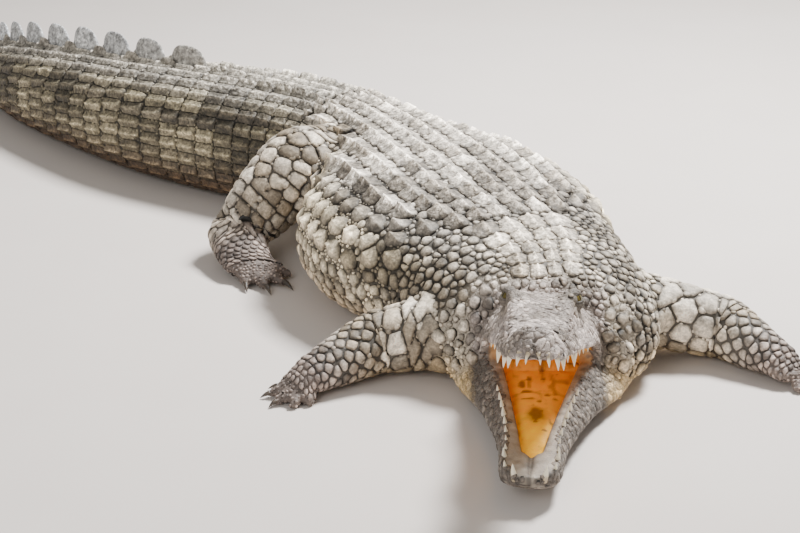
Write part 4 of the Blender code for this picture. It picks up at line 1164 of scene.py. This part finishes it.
def field(columns, rows):
    """Every column with every row, as two flat arrays."""
    a, b = np.meshgrid(columns, rows, indexing="ij")
    return a.ravel(), b.ravel()


# ------------------------------------------------------------------------------
# Where the body's scales are rooted. Seventeen cross rows of six to eight square scutes arm the back, and five
# narrower rows the nape; three lengthwise rows of large ovals lie beside them, then round scales, then even
# oblong rows round the belly. The tail has rings of oblong scales.
BACK_WIDTH = [(0.2, 0.04), (0.35, 0.052), (0.5, 0.058), (0.8, 0.056), (1.0, 0.048), (1.5, 0.036)]
CREST_PITCH = [(1.47, 0.14), (2.1, 0.132), (2.6, 0.085), (3, 0.045)]
BODY_ISLAND = (0.01, 0.01, 0.99, 0.55)
BACK_START, BACK_PITCH = 0.275, 0.0535


def shield_edge(s):
    """Distance from the crown to the edge of the back's armour."""
    rows = 3 + fade(s, 0.3, 0.4) * (1 - fade(s, 0.95, 1.02))
    return rows * ease(s, BACK_WIDTH)


def flank_rows(start, gap, count, pitch, low, high, loose):
    """Staggered lengthwise rows on both sides, at start + row * gap beyond the armour's edge."""
    found = []
    for row in range(count):
        s = np.arange(low + (row % 2) * pitch / 2, high, pitch)
        for side in (-1, 1):
            across = shield_edge(s) + start + row * gap
            within = across < body.half_girth(s) - 0.01
            n = within.sum()
            s_there = s[within] + jitter(n, pitch * loose)
            found.append(np.stack([s_there, side * (across[within] + jitter(n, gap * loose))]))
    return np.concatenate(found, axis=1)


def crest_places():
    """Where each blade stands along the spine: each one its own pitch beyond the last."""
    found = [1.61]
    while found[-1] < 2.96:
        found.append(found[-1] + float(ease(found[-1], CREST_PITCH)))
    return np.array(found[:-1])


def whorl_places():
    """The tail's rings of scales: evenly along its root, then two to each blade of the crest."""
    stands = crest_places()
    mids = (stands[1:] + stands[:-1]) / 2
    return np.sort(np.concatenate([np.linspace(1.11, stands[0], 10)[:-1], stands, mids, [2.98]]))


roots = {}
s, k = field(BACK_START + np.arange(17) * BACK_PITCH, np.arange(8) - 3.5)
kept = (np.abs(k) < 3) | ((s > 0.37) & (s < 0.98))
s, k = s[kept] + jitter(kept.sum(), 0.0018), k[kept]
width = ease(s, BACK_WIDTH)
roots["back"] = (s, k * width + jitter(len(s), 0.0015), 0.5 * width)
nape_s, k = field(np.array([0.034, 0.069, 0.108, 0.152, 0.208]), np.arange(4) - 1.5)
nape_width = ease(nape_s, [(0.034, 0.03), (0.208, 0.05)])
nape_s, nape_size = nape_s + jitter(20, 0.004), 0.5 * nape_width
roots["nape"] = (nape_s, k * nape_width + jitter(20, 0.002), nape_size)
for name, form, size in (("keeled", (0.03, 0.047, 3, 0.052, 0.3, 1.02, 0.05), (0.02, 0.025)),
                         ("round", (0.166, 0.031, 4, 0.035, 0.27, 1.06, 0.09), (0.0145, 0.0185)),
                         ("oblong", (0.289, 0.029, 18, 0.031, 0.2, 1.08, 0.04), (0.0145, 0.0155))):
    s, across = flank_rows(*form)
    roots[name] = (s, across, chance.uniform(*size, len(s)))
whorls = whorl_places()
row, ring = field(np.arange(15), np.arange(len(whorls)))
s = whorls[ring]
pitch = np.gradient(whorls)[ring]
girth = body.half_girth(s)
gap = girth / np.clip(np.round(girth / 0.032), 8, 15)
across = gap * (row + 0.5)
kept = across < girth - 0.3 * gap
s, across, pitch = s[kept], across[kept], pitch[kept]
s, across, pitch = np.tile(s, 2), np.concatenate([across, -across]), np.tile(pitch, 2)
roots["tail"] = (s + jitter(len(s), 0.001), across + jitter(len(s), 0.0008), 0.5 * pitch)

root_s, root_across, root_size = (np.concatenate(part) for part in zip(*roots.values()))
root_kind = np.repeat(list(roots), [len(part[0]) for part in roots.values()])
limb_tree = tree_of(np.concatenate([sheet.grid[6:].reshape(-1, 3) for sheet, _ in limbs.values()]))
body_tree = tree_of(body.grid[:200:2, ::2].reshape(-1, 3))
head_places = np.concatenate([sheet.grid[:-8].reshape(-1, 3) for sheet in (upper_sheet, jaw_sheet)])
head_tree = tree_of(head_places)


def distances(tree, places):
    """How far each place is from the nearest one in the tree."""
    return np.array([tree.find(p)[2] for p in places.tolist()])


def on_body(places):
    """Whether places on the skin lie on the trunk's own form, rather than on a limb's or a jaw's."""
    from_body = distances(body_tree, places)
    off_head = distances(head_tree, places) > np.minimum(from_body, 0.02)
    return (from_body < distances(limb_tree, places) + 0.004) & off_head


def on_limb(places):
    """Whether places on the skin lie on a limb's form rather than on the trunk's."""
    return distances(body_tree, places) > distances(limb_tree, places) - 0.002


def body_scales(pattern, kind, **form):
    """One kind of scale of the whole body's field."""
    return scales(pattern, body, root_kind == kind, root_s, root_across, root_size, island=BODY_ISLAND,
                  kept_on=on_body, **form)


# ------------------------------------------------------------------------------
# The back's armour: thick square scutes, each with a keel along it that rises towards the tail, so that the
# keels line up into long ridges. Smaller ones with low keels run on over the nape to the skull.
back_finish = horn_finish("back_horn", dark=0.05, pale=2.8, edge=0.7, deep_at=0.72, crust=1.0, spread=0.5)
s, across, _ = roots["back"]
outer_rows = fade(np.abs(across) / ease(s, BACK_WIDTH), 1, 3.5)
keel = 0.0105 + 0.005 * outer_rows + chance.uniform(-0.001, 0.002, len(s))
dorsal = body_scales(LARGE, "back", tall=0.0042, keel=keel, lift=0.0012, gap=0.001, rounding=18, sharp=0.24,
                     long_keel=0.9)
nuchal = body_scales(LARGE, "nape", tall=0.004, keel=0.007, lift=0.0015, gap=0.0014, rounding=11, most=1.6)
coat_piece("back_scutes", [dorsal, nuchal], back_finish)

# ------------------------------------------------------------------------------
# The flanks: large keeled ovals, domed round scales and flat oblong belly scales, with beads in between.
side_finish = horn_finish("flank_horn", dark=0.03, pale=1.8, edge=0.55, deep_at=0.74, crust=0.6, spread=0.6)
n = len(roots["keeled"][0])
keeled = body_scales(LARGE, "keeled", tall=0.004, dome=0.004, keel=chance.uniform(0.002, 0.011, n), gap=0.003,
                     rounding=8, sharp=0.2, ragged=0.05)
domed = body_scales(MEDIUM, "round", tall=0.003, dome=0.0045, gap=0.003, rounding=9, ragged=0.05)
coat_piece("flank_scutes", [keeled, domed], side_finish)
oblong = body_scales(MEDIUM, "oblong", tall=0.0028, dome=0.0016, gap=0.0028, rounding=10)
coat_piece("belly_scales", [oblong], side_finish)


# ------------------------------------------------------------------------------
# The tail: rings of oblong keeled scales, so the keels make long lines towards the tip, under a crest of tall
# rounded blades. Two low saw-toothed rows on the tail's root close up into the single crest.
CREST_HEIGHT = [(1.47, 0.032), (1.65, 0.048), (2, 0.057), (2.4, 0.052), (2.8, 0.036), (2.96, 0.018)]
tail_finish = horn_finish("tail_horn", dark=0.2, pale=2.6, edge=0.68, deep_at=0.45, crust=1.0, spread=0.3)
s, across, _ = roots["tail"]
girth = body.half_girth(s)
small = np.clip(girth / 0.4, 0.3, 1)
keel = 0.007 * (1 - 0.8 * fade(np.abs(across) / girth, 0.6, 0.85)) * small
# The low double crest: on the tail's root the keels of the second row out stand high, then close in.
twin = np.exp(-((np.abs(across) - (0.075 - 0.13 * (s - 1.1))) / 0.018) ** 2) * (1 - fade(s, 1.5, 1.58))
tail_scales = body_scales(LARGE, "tail", tall=0.0024 * small, keel=keel + 0.012 * twin, lift=0.0006 * small,
                          gap=0.0006, rounding=22, sharp=0.2, long_keel=0.95, ragged=0.02)
coat_piece("tail_scales", [tail_scales], tail_finish)


def blades(s, aside, length, height, thick):
    """Crest blades: a plate in the plane of the spine, inside the curve |x| ** 3 + |z| ** 3 = 1 and lower below
    than above, bulging to each side by thick * (1 - r ** 2.6) ** 0.5, closed round its rim."""
    reach = np.sin(np.linspace(0.12, 1, 9) * math.pi / 2)
    r, a = reach[:, None], even_turns(36)[None, :]
    corner = (np.abs(np.cos(a)) ** 3 + np.abs(np.sin(a)) ** 3) ** (-1 / 3)
    x, z = r * np.cos(a) * corner, r * np.sin(a) * corner
    x = x * (1 - 0.13 * np.clip(z, 0, 1)) + 0.07 * z * r
    z = np.where(z > 0, z, -0.45 * np.abs(z))
    waves = 1 + 0.08 * np.sin(x * 12 + z * 4)
    side = np.sqrt(np.maximum(1 - r**2.6, 0)) * (1 - 0.5 * np.clip(z, 0, 1)) * waves
    point, back, left = spine_at(s)
    crown = ease(s, BACK_HEIGHT) - ease(s, BACK_COAT)
    sides = []
    for hand in (-1, 1):
        place = (point[:, None, None] + back[:, None, None] * (x[None] * length[:, None, None] / 2)[..., None]
                 + left[:, None, None] * (aside[:, None, None]
                                          + hand * side[None] * thick[:, None, None])[..., None])
        place[..., 2] = crown[:, None, None] + z[None] * height[:, None, None]
        sides.append(place.reshape(len(s), -1, 3))
    quads, rim, _ = closed_loft(np.stack([x, z, z], axis=-1))[1]
    faces = [np.vstack([quads, quads[:, ::-1] + x.size]), np.vstack([rim, rim[:, ::-1] + x.size])]
    # Blades are painted lighter towards their tops and darker at their bases: painted highlight and painted
    # shade.
    light = np.tile(np.clip(z, 0, 1).ravel() * 0.5 + 0.3, (len(s), 2))
    place = np.concatenate(sides, axis=1)
    return batch(place, faces, light, body_share(s, 0.5 + aside * 0.3), BODY_ISLAND, np.tile(x.ravel(), 2)[None],
                 np.tile(z.ravel(), 2)[None], place.mean(axis=1), dullest=0.4)


crest_s = crest_places()
pitch, tall = ease(crest_s, CREST_PITCH), ease(crest_s, CREST_HEIGHT) + ease(crest_s, BACK_COAT) - 0.001
single = blades(crest_s, 0 * crest_s, pitch * 0.86, tall, 0.015 * np.clip(tall / 0.06, 0.25, 1))
flap_s = np.concatenate([crest_s[:-3] + pitch[:-3] * 0.42] * 2)
flap_side = np.repeat([-1, 1], len(crest_s) - 3)
flap_tall = np.tile(tall[:-3], 2) * 0.36
flaps = blades(flap_s, flap_side * 0.014, np.tile(pitch[:-3], 2) * 0.42, flap_tall, 0.009 + 0 * flap_s)
coat_piece("tail_crest", [single, flaps], tail_finish)


# ------------------------------------------------------------------------------
# The legs: wide plates over the outside of upper arm, thigh and knee that get smaller and rounder towards the
# hand or foot, in cross rows, with smaller scales behind and below.
leg_finish = horn_finish("leg_horn", dark=0.02, pale=1.4, edge=0.5, deep_at=0.62, spread=0.7)
LIMB_ISLANDS = {"front_right": (0.01, 0.58, 0.32, 0.76), "front_left": (0.34, 0.58, 0.65, 0.76),
                "hind_right": (0.67, 0.58, 0.98, 0.76), "hind_left": (0.01, 0.78, 0.32, 0.98)}


limbs = {name: drawn_out(*limb) for name, limb in limbs.items()}


def limb_roots(name):
    """Cross rows down a limb. Their pitch shrinks from root to toes, and each row has as many scales as fit, the
    widest on the outside of the limb."""
    sheet, joints = limbs[name]
    pitches = of_kind(name, [(0, 0.041), (0.88, 0.04), (1.05, 0.021), (1.5, 0.018), (2, 0.0145), (3, 0.01)],
                      [(0, 0.037), (1.1, 0.035), (1.6, 0.032), (2.3, 0.028), (2.55, 0.017), (3, 0.0125)])
    stops = np.concatenate([[0], joints])
    found, along, row = [], 0.01 + of_kind(name, 0.5 * joints[0], 0), 0
    while along < joints[2] - 0.002:
        pitch = float(ease(np.interp(along, stops, range(4)), pitches))
        girth = float(sheet.half_girth(along))
        broad = 1.05 if pitch > 0.03 else 1.25
        broad = of_kind(name, 1.7 if joints[0] < along < joints[1] else broad, broad)
        count = max(6, int(2 * girth / (pitch * broad)))
        turn = ((np.arange(count) + (row % 2) * 0.5) / count * 2 - 1) * math.pi
        across = girth * (turn + 0.35 * np.sin(turn) * fade(pitch, 0.018, 0.03)) / math.pi
        size = 0.5 * pitch * (1 + 0.1 * np.cos(turn))
        found.append(np.stack([along + jitter(count, pitch * 0.05), across + jitter(count, pitch * 0.09), size]))
        along += pitch
        row += 1
    return np.concatenate(found, axis=1)


for name in LIMBS:
    along, across, size = limb_roots(name)
    big = size > 0.0105
    sheet = limbs[name][0]
    batches = [scales(pattern, sheet, chosen, along, across, size, island=LIMB_ISLANDS[name], kept_on=on_limb,
                      tall=0.0026 * np.clip(size[chosen] / 0.015, 0.6, 1.2), dome=0.06 * size[chosen] + 0.0006,
                      lift=0.0018, gap=0.0012, rounding=rounding, ragged=0.02, most=1.9)
               for pattern, chosen, rounding in ((LARGE, big, 20), (MEDIUM, ~big, 12))]
    coat_piece(f"plates_{name}", batches, leg_finish)


# ------------------------------------------------------------------------------
# The head's scales: low angular plates, wider than long, fused to the skull over snout and cheeks, and rows of
# larger ones along the sides of the lower jaw. The lids and the lining of the mouth stay bare.
head_finish = horn_finish("head_horn", dark=0.66, pale=1.12, edge=0.5, deep_at=0.22, creased=True)


LID_REACH = 0.0245


def bare_of_lids(places):
    """Whether places are clear of the eyes' lids and of the mouth."""
    gaps = [np.linalg.norm(places - eye_frame(side)[0], axis=1) for side in (-1, 1)]
    return (np.min(gaps, axis=0) > LID_REACH) & (mouth_share(places) < 0.25)


def jaw_scales(sheet, step, stretch, girth_share, inner, island, tall, dome):
    """Loose staggered rows round a jaw, more than inner half girths from its middle column. Each scale is
    stretch times wider than long."""
    wide = step * stretch
    found = []
    for row, here in enumerate(np.arange(0.015 * HEAD, HEAD, step)):
        reach = float(sheet.half_girth(here)) * girth_share
        across = np.arange(-reach, reach, wide) + (row % 2) * wide / 2
        found.append(np.stack([here + jitter(len(across), step * 0.2),
                               across + jitter(len(across), wide * 0.2)]))
    along, across = np.concatenate(found, axis=1)
    size = wide * chance.uniform(0.4, 0.6, len(along))
    outside = np.abs(across) > inner * sheet.half_girth(along)
    along, across, size = along[outside], across[outside], size[outside]
    return scales(MEDIUM, sheet, np.full(len(along), True), along, across, size, tall=tall, dome=dome * size,
                  gap=0.0009, rounding=9, ragged=0.09, island=island, kept_on=bare_of_lids)


HEAD_ISLAND, JAW_ISLAND = (0.34, 0.78, 0.65, 0.98), (0.67, 0.78, 0.98, 0.98)
for name, form in (("head_scales", (upper_sheet, 0.022 * HEAD, 1.7, 0.62, -1, HEAD_ISLAND, 0.0006, 0.05)),
                   ("jaw_scales", (jaw_sheet, 0.026 * HEAD, 1.3, 1.0, 0.35, JAW_ISLAND, 0.0007, 0.08))):
    coat_piece(name, [jaw_scales(*form)], head_finish)


# ------------------------------------------------------------------------------
# Neck, jowls and shoulders: domed knobs of two sizes, packed until they touch, then beads of horn on whatever
# skin is still bare. Each stands on a random spot of the skin and keeps clear of its neighbours.
def skin_spots(wanted):
    """Random places on the skin, spread by area, and its direction there, off the soles, the lids and the
    mouth."""
    corners = skin_place[skin_quads]
    flat = np.cross(corners[:, 2] - corners[:, 0], corners[:, 3] - corners[:, 1])
    area = np.linalg.norm(flat, axis=1)
    pick = chance.choice(len(area), wanted, p=area / area.sum())
    f, h = chance.uniform(0, 1, (2, wanted, 1))
    c = corners[pick]
    spot = (c[:, 0] * (1 - f) + c[:, 1] * f) * (1 - h) + (c[:, 3] * (1 - f) + c[:, 2] * f) * h
    fine = (spot[:, 2] > 0.006) & bare_of_lids(spot)
    return spot[fine], unit(flat[pick])[fine]


def gap_to(places, spot):
    """Distance from each spot to the nearest of the places."""
    return distances(tree_of(places), spot)


def clings(spot, normal, reach):
    """Whether the skin stays near each spot's own plane: how far it is from six places round the spot."""
    side, ahead = crosswise(normal, LEANING)
    off = np.zeros(len(spot))
    for turn in even_turns(6):
        place = spot + (side * math.cos(turn) - ahead * math.sin(turn)) * reach
        off = np.maximum(off, [skin_tree.find_nearest(tuple(p))[3] for p in place])
    return off < 0.33 * reach


def spread(spot, normal, spacing):
    """Spots at least spacing apart: of two that are nearer the later one goes, and two more rounds fill what
    that leaves free."""
    chosen, left = np.zeros(len(spot), bool), np.arange(len(spot))
    for _ in range(3):
        tree = tree_of(spot[left])
        first = np.array([min(i for _, i, _ in tree.find_range(p, spacing)) for p in spot[left].tolist()], int)
        chosen[left[first == np.arange(len(left))]] = True
        left = left[gap_to(spot[chosen], spot[left]) > spacing]
    return spot[chosen], normal[chosen]


KNOB_TRIES, LARGE_APART, KNOB_CLEAR, SMALL_APART = 80000, 0.025, 0.0165, 0.0135
BEAD_TRIES, BEAD_CLEAR, BEAD_APART, BEADS_IN_PIECE = 110000, 0.0046, 0.0064, 7000
neck_finish = horn_finish("neck_horn", dark=0.03, pale=1.6, edge=0.5, deep_at=0.68, crust=0.6, spread=0.7)
spot, normal = skin_spots(KNOB_TRIES)
free = gap_to(np.vstack(COVERED), spot) > 0.0075
free[free] = (gap_to(head_places, spot[free]) > 0.008) & (limb_measure(spot[free])[1] < 1.9)
free[free] = (spine_measure(spot[free])[0] < 1.12) & clings(spot[free], normal[free], 0.009)
spot, normal = spot[free], normal[free]
wide = (gap_to(np.vstack(COVERED), spot) > 0.012) & clings(spot, normal, 0.014)
spot_s, spot_aside, _ = spine_measure(spot)
wide &= (np.abs(spot_aside) > 0.115) | (spot_s > 0.1)
large_spot, large_normal = spread(spot[wide], normal[wide], LARGE_APART)
apart = gap_to(large_spot, spot) > KNOB_CLEAR
small_spot, small_normal = spread(spot[apart], normal[apart], SMALL_APART)
size = [chance.uniform(0.0115, 0.0145, len(large_spot)), chance.uniform(0.006, 0.0085, len(small_spot))]
size = np.concatenate(size)
knobs = free_scales(MEDIUM, np.vstack([large_spot, small_spot]), np.vstack([large_normal, small_normal]), size,
                    tall=0.0022, dome=size * 0.36, gap=0.0012, rounding=10, most=1.5, ragged=0.05)
coat_piece("neck_knobs", [knobs], neck_finish)
bead_finish = horn_finish("bead_horn", dark=0.05, pale=1.2, edge=0.45, deep_at=0.5)
spot, normal = skin_spots(BEAD_TRIES)
free = gap_to(np.vstack(COVERED), spot) > BEAD_CLEAR
spot, normal = spread(spot[free], normal[free], BEAD_APART)
size = chance.uniform(0.0034, 0.0054, len(spot))
beads = free_scales(SMALL, spot, normal, size, tall=0.0008, dome=size * 0.4, gap=0.001)
for number, part in enumerate(np.array_split(np.arange(len(spot)), len(spot) // BEADS_IN_PIECE + 1), 1):
    chosen = {key: (value if key == "faces" else value[part]) for key, value in beads.items()}
    coat_piece(f"granules_{number}", [chosen], bead_finish)


# ------------------------------------------------------------------------------
# The teeth: pointed cream cones, a little curved back, in the edge of each jaw. The lower ones stand outside the
# upper ones' line at the snout.
UPPER_TEETH = [(0.004, 0.009), (0.014, 0.013), (0.038, 0.018), (0.075, 0.019), (0.115, 0.01), (0.2, 0.009),
               (0.25, 0.013), (0.32, 0.022), (0.375, 0.013), (0.435, 0.011), (0.495, 0.015), (0.555, 0.012),
               (0.615, 0.01), (0.675, 0.009)]
LOWER_TEETH = [(0.022, 0.021), (0.07, 0.013), (0.135, 0.019), (0.19, 0.011), (0.25, 0.011), (0.31, 0.013),
               (0.37, 0.016), (0.43, 0.019), (0.49, 0.017), (0.55, 0.014), (0.61, 0.012)]


def cones(base, tip, bend, radius, rows=9, sides=12):
    """Curved cones: at height t the middle is base + (tip - base) * t + bend * t * (1 - t) and the radius
    shrinks by (1 - t ** 1.5), ending in a small rounded point."""
    t = np.linspace(0, 1, rows)
    axis = unit(tip - base)
    side, other = crosswise(axis, [0.31, 0.2, 0.93])
    a = even_turns(sides)
    swing = bend[:, None] * (t * (1 - t))[None, :, None]
    centre = base[:, None] + (tip - base)[:, None] * t[None, :, None] + swing
    size = radius[:, None] * (1 - t**1.5 * 0.94)[None]
    ring = np.cos(a)[:, None] * side[:, None, None] - np.sin(a)[:, None] * other[:, None, None]
    place = centre[:, :, None] + size[:, :, None, None] * ring
    faces = repeated(closed_loft(place[0])[1], len(base), rows * sides)
    return place.reshape(-1, 3), faces, np.tile(np.repeat(t, sides), len(base))


TOOTH_ROOT = 0.012


def tooth_row(rows, widths, pitch, down, inset):
    """Roots and tips of both sides' teeth of one jaw."""
    back, length = np.array(rows).T
    back, length = np.tile(back, 2), np.tile(length, 2)
    side = np.repeat([-1, 1], len(rows))
    out = ease(back, widths) - inset
    base = head_point(pitch, back, side * (out - 0.004), down * np.full(len(back), -TOOTH_ROOT / HEAD))
    tip = head_point(pitch, back - 0.004, side * (out + 0.006), down * length / HEAD)
    forward, left, _ = head_axes(pitch)
    return base, tip, -forward * 0.004 + left * side[:, None] * 0.004, (length + TOOTH_ROOT) * 0.2


rows = [tooth_row(UPPER_TEETH, SNOUT_WIDTH, UPPER_PITCH, -1, 0.016),
        tooth_row(LOWER_TEETH, JAW_WIDTH, LOWER_PITCH, 1, 0.012)]
place, faces, up = cones(*(np.concatenate(part) for part in zip(*rows)))
tooth_mesh = mesh_of("teeth", place, faces)
store(tooth_mesh, rise=up)
made = Finish("tooth_ivory")
up, stain = made.attribute("rise"), made.noise(160, 3)
ivory = made.mix((up + (stain - 0.5) * 0.5).step(0.2, 0.5), linear(186, 168, 138), linear(240, 230, 206))
ivory = made.surface(ivory, 0.22 + stain * 0.25, made.bump(stain, 0.0008, 0.5))
teeth = place_piece("teeth", tooth_mesh, ivory)


# ------------------------------------------------------------------------------
# The claws: dark curved horn on the three inner toes of each foot.
made = Finish("claw_horn")
grain = made.noise(300, 4)
horn = made.mix(grain.step(0.35, 0.7), linear(44, 38, 34), linear(96, 84, 72))
horn = made.surface(horn, 0.3 + grain * 0.25, made.bump(grain, 0.001, 0.5))
for name in LIMBS:
    kind, side = name.split("_")
    for number, (line, girth, ahead, across, clawed) in enumerate(digit_lines(name), 1):
        if not clawed:
            continue
        nail = of_kind(name, 0.02, 0.03)
        base = line[2] - ahead * girth[2] * 0.2 + np.array([0, 0, 0.001])
        tip = line[2] + ahead * nail
        tip[2] = 0.0025
        place, faces, _ = cones(base[None], tip[None], np.array([[0, 0, nail * 0.5]]),
                                np.array([girth[0] * 0.42]))
        claw = place_piece(f"claw_of_{name}_{number}", mesh_of("claw", lifted(place, CLAW_LOW), faces), horn)
        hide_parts(f"claw_{kind}_{side}_{number}")


# ------------------------------------------------------------------------------
# The eyes: olive balls with an upright slit, set under the brow between thick lids.
def ball(side, radius):
    """A sphere as rings round its own looking direction: radius * (cos, sin) of the angle from its front."""
    centre, axis, side, upward = eye_frame(side)
    polar = np.linspace(0.02, math.pi - 0.02, 33)
    a = even_turns(48)
    bulge = radius * (1 + 0.06 * np.exp(-((polar / 0.55) ** 2)))
    rings = (centre + axis * (bulge * np.cos(polar))[:, None, None]
             + (bulge * np.sin(polar))[:, None, None]
             * (np.cos(a)[:, None] * side + np.sin(a)[:, None] * upward))
    return closed_loft(rings)


for side, name in ((1, "eye_left"), (-1, "eye_right")):
    centre, axis, across_axis, up_axis = eye_frame(side)
    points, faces = ball(side, EYE_RADIUS)
    mesh = mesh_of(name, points, faces)
    front = (points - centre) / EYE_RADIUS
    store(mesh, slit=front @ across_axis, upright=front @ up_axis, front=front @ axis)
    made = Finish(f"{name}_glaze")
    slit, upright, front = (made.attribute(key) for key in ("slit", "upright", "front"))
    fleck = made.noise(900, 3)
    pupil = (slit.math("ABSOLUTE") + upright * upright * 0.25).step(0.07, 0.11)
    iris = made.mix(fleck.step(0.35, 0.65), linear(58, 50, 22), linear(112, 98, 44))
    iris = made.mix(front.step(0.55, 0.75), linear(26, 22, 17), iris)
    glass = made.surface(made.mix(pupil, (0.004, 0.004, 0.004), iris), 0.06 + fleck * 0.06)
    eyeball = place_piece(f"{name}_ball", mesh, glass)
    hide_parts(name)


# ------------------------------------------------------------------------------
# The tongue: a broad flat orange pad grown to the floor of the mouth.
back = np.linspace(0.24, 0.9, 60)
wide = ease(back, JAW_WIDTH) * (1 - ease(back, GUM_WIDTH)) * 0.95
drop = ease(back, FLOOR_DROP)
swell = 0.024 * np.sin(np.pi * np.clip((back - 0.24) / 0.68, 0, 1)) - 0.006 * (1 - fade(back, 0.24, 0.34))
half = [(0 * wide, swell - drop + 0.004), (wide * 0.6, swell * 0.85 - drop + 0.004), (wide, -drop * 0.9),
        (wide * 0.7, -drop - 0.004), (0 * wide, -drop - 0.006)]
tongue_points, tongue_faces = closed_loft(mirrored_rings(half, LOWER_PITCH, back, 72))
tongue_mesh = mesh_of("tongue", tongue_points, tongue_faces)
even = np.ones(len(tongue_points))
give_colours(tongue_mesh, mouth_colour(tongue_points), even, 0.5 * even)
made = Finish("mouth_lining")
hide, soft, pits = made.attribute("hide", "Color"), made.noise(45, 4), made.noise(400, 2)
lining = made.surface(made.scaled(hide, 0.65 + soft * 0.7), 0.3 + pits * 0.3,
                      made.bump(pits, 0.001, 0.6, made.bump(soft, 0.004, 0.4)))
tongue = place_piece("tongue_pad", tongue_mesh, lining)
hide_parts("tongue")


# ------------------------------------------------------------------------------
# The studio: a pale floor, one large soft light high on the left, a weaker one on the right, and a bright dome.
floor_mesh = mesh_of("floor", np.array([[-12, -8, 0], [12, -8, 0], [12, 14, 0], [-12, 14, 0]], float),
                     [np.array([[0, 1, 2, 3]])])
floor = bpy.data.objects.new("floor", floor_mesh)
bpy.context.scene.collection.objects.link(floor)
made = Finish("floor_plaster")
made.shader.inputs["Roughness"].default_value = 0.85
floor_mesh.materials.append(made.surface(made.mix(made.noise(3, 2), linear(214, 205, 198),
                                                  linear(222, 214, 207))))


def soft_light(name, place, aim, size, power):
    """A square area light that looks at a point."""
    lamp = bpy.data.lights.new(name, "AREA")
    lamp.size, lamp.energy = size, power
    made = bpy.data.objects.new(name, lamp)
    made.location = place
    direction = np.array(aim) - np.array(place)
    made.rotation_euler = (math.acos(-direction[2] / np.linalg.norm(direction)), 0,
                           math.atan2(direction[1], direction[0]) - math.pi / 2)
    bpy.context.scene.collection.objects.link(made)


soft_light("key_light", (1.9, 0.7, 3.6), (0.1, -0.3, 0), 1.0, 540)
soft_light("fill_light", (-1.8, -4.4, 2.6), (0.3, -0.6, 0.1), 2.5, 80)
world = bpy.data.worlds.new("studio")
bpy.context.scene.world = world
world.use_nodes = True
background = world.node_tree.nodes["Background"].inputs
background["Color"].default_value = (1, 0.985, 0.96, 1)
background["Strength"].default_value = 0.37

camera_data = bpy.data.cameras.new("camera")
camera_data.lens, camera_data.sensor_width = 85.5, 36
camera = bpy.data.objects.new("camera", camera_data)
camera.location = (0.2356, -4.3603, 1.59)
camera.rotation_euler = (math.radians(68.5), 0, 0)
bpy.context.scene.collection.objects.link(camera)
bpy.context.scene.camera = camera
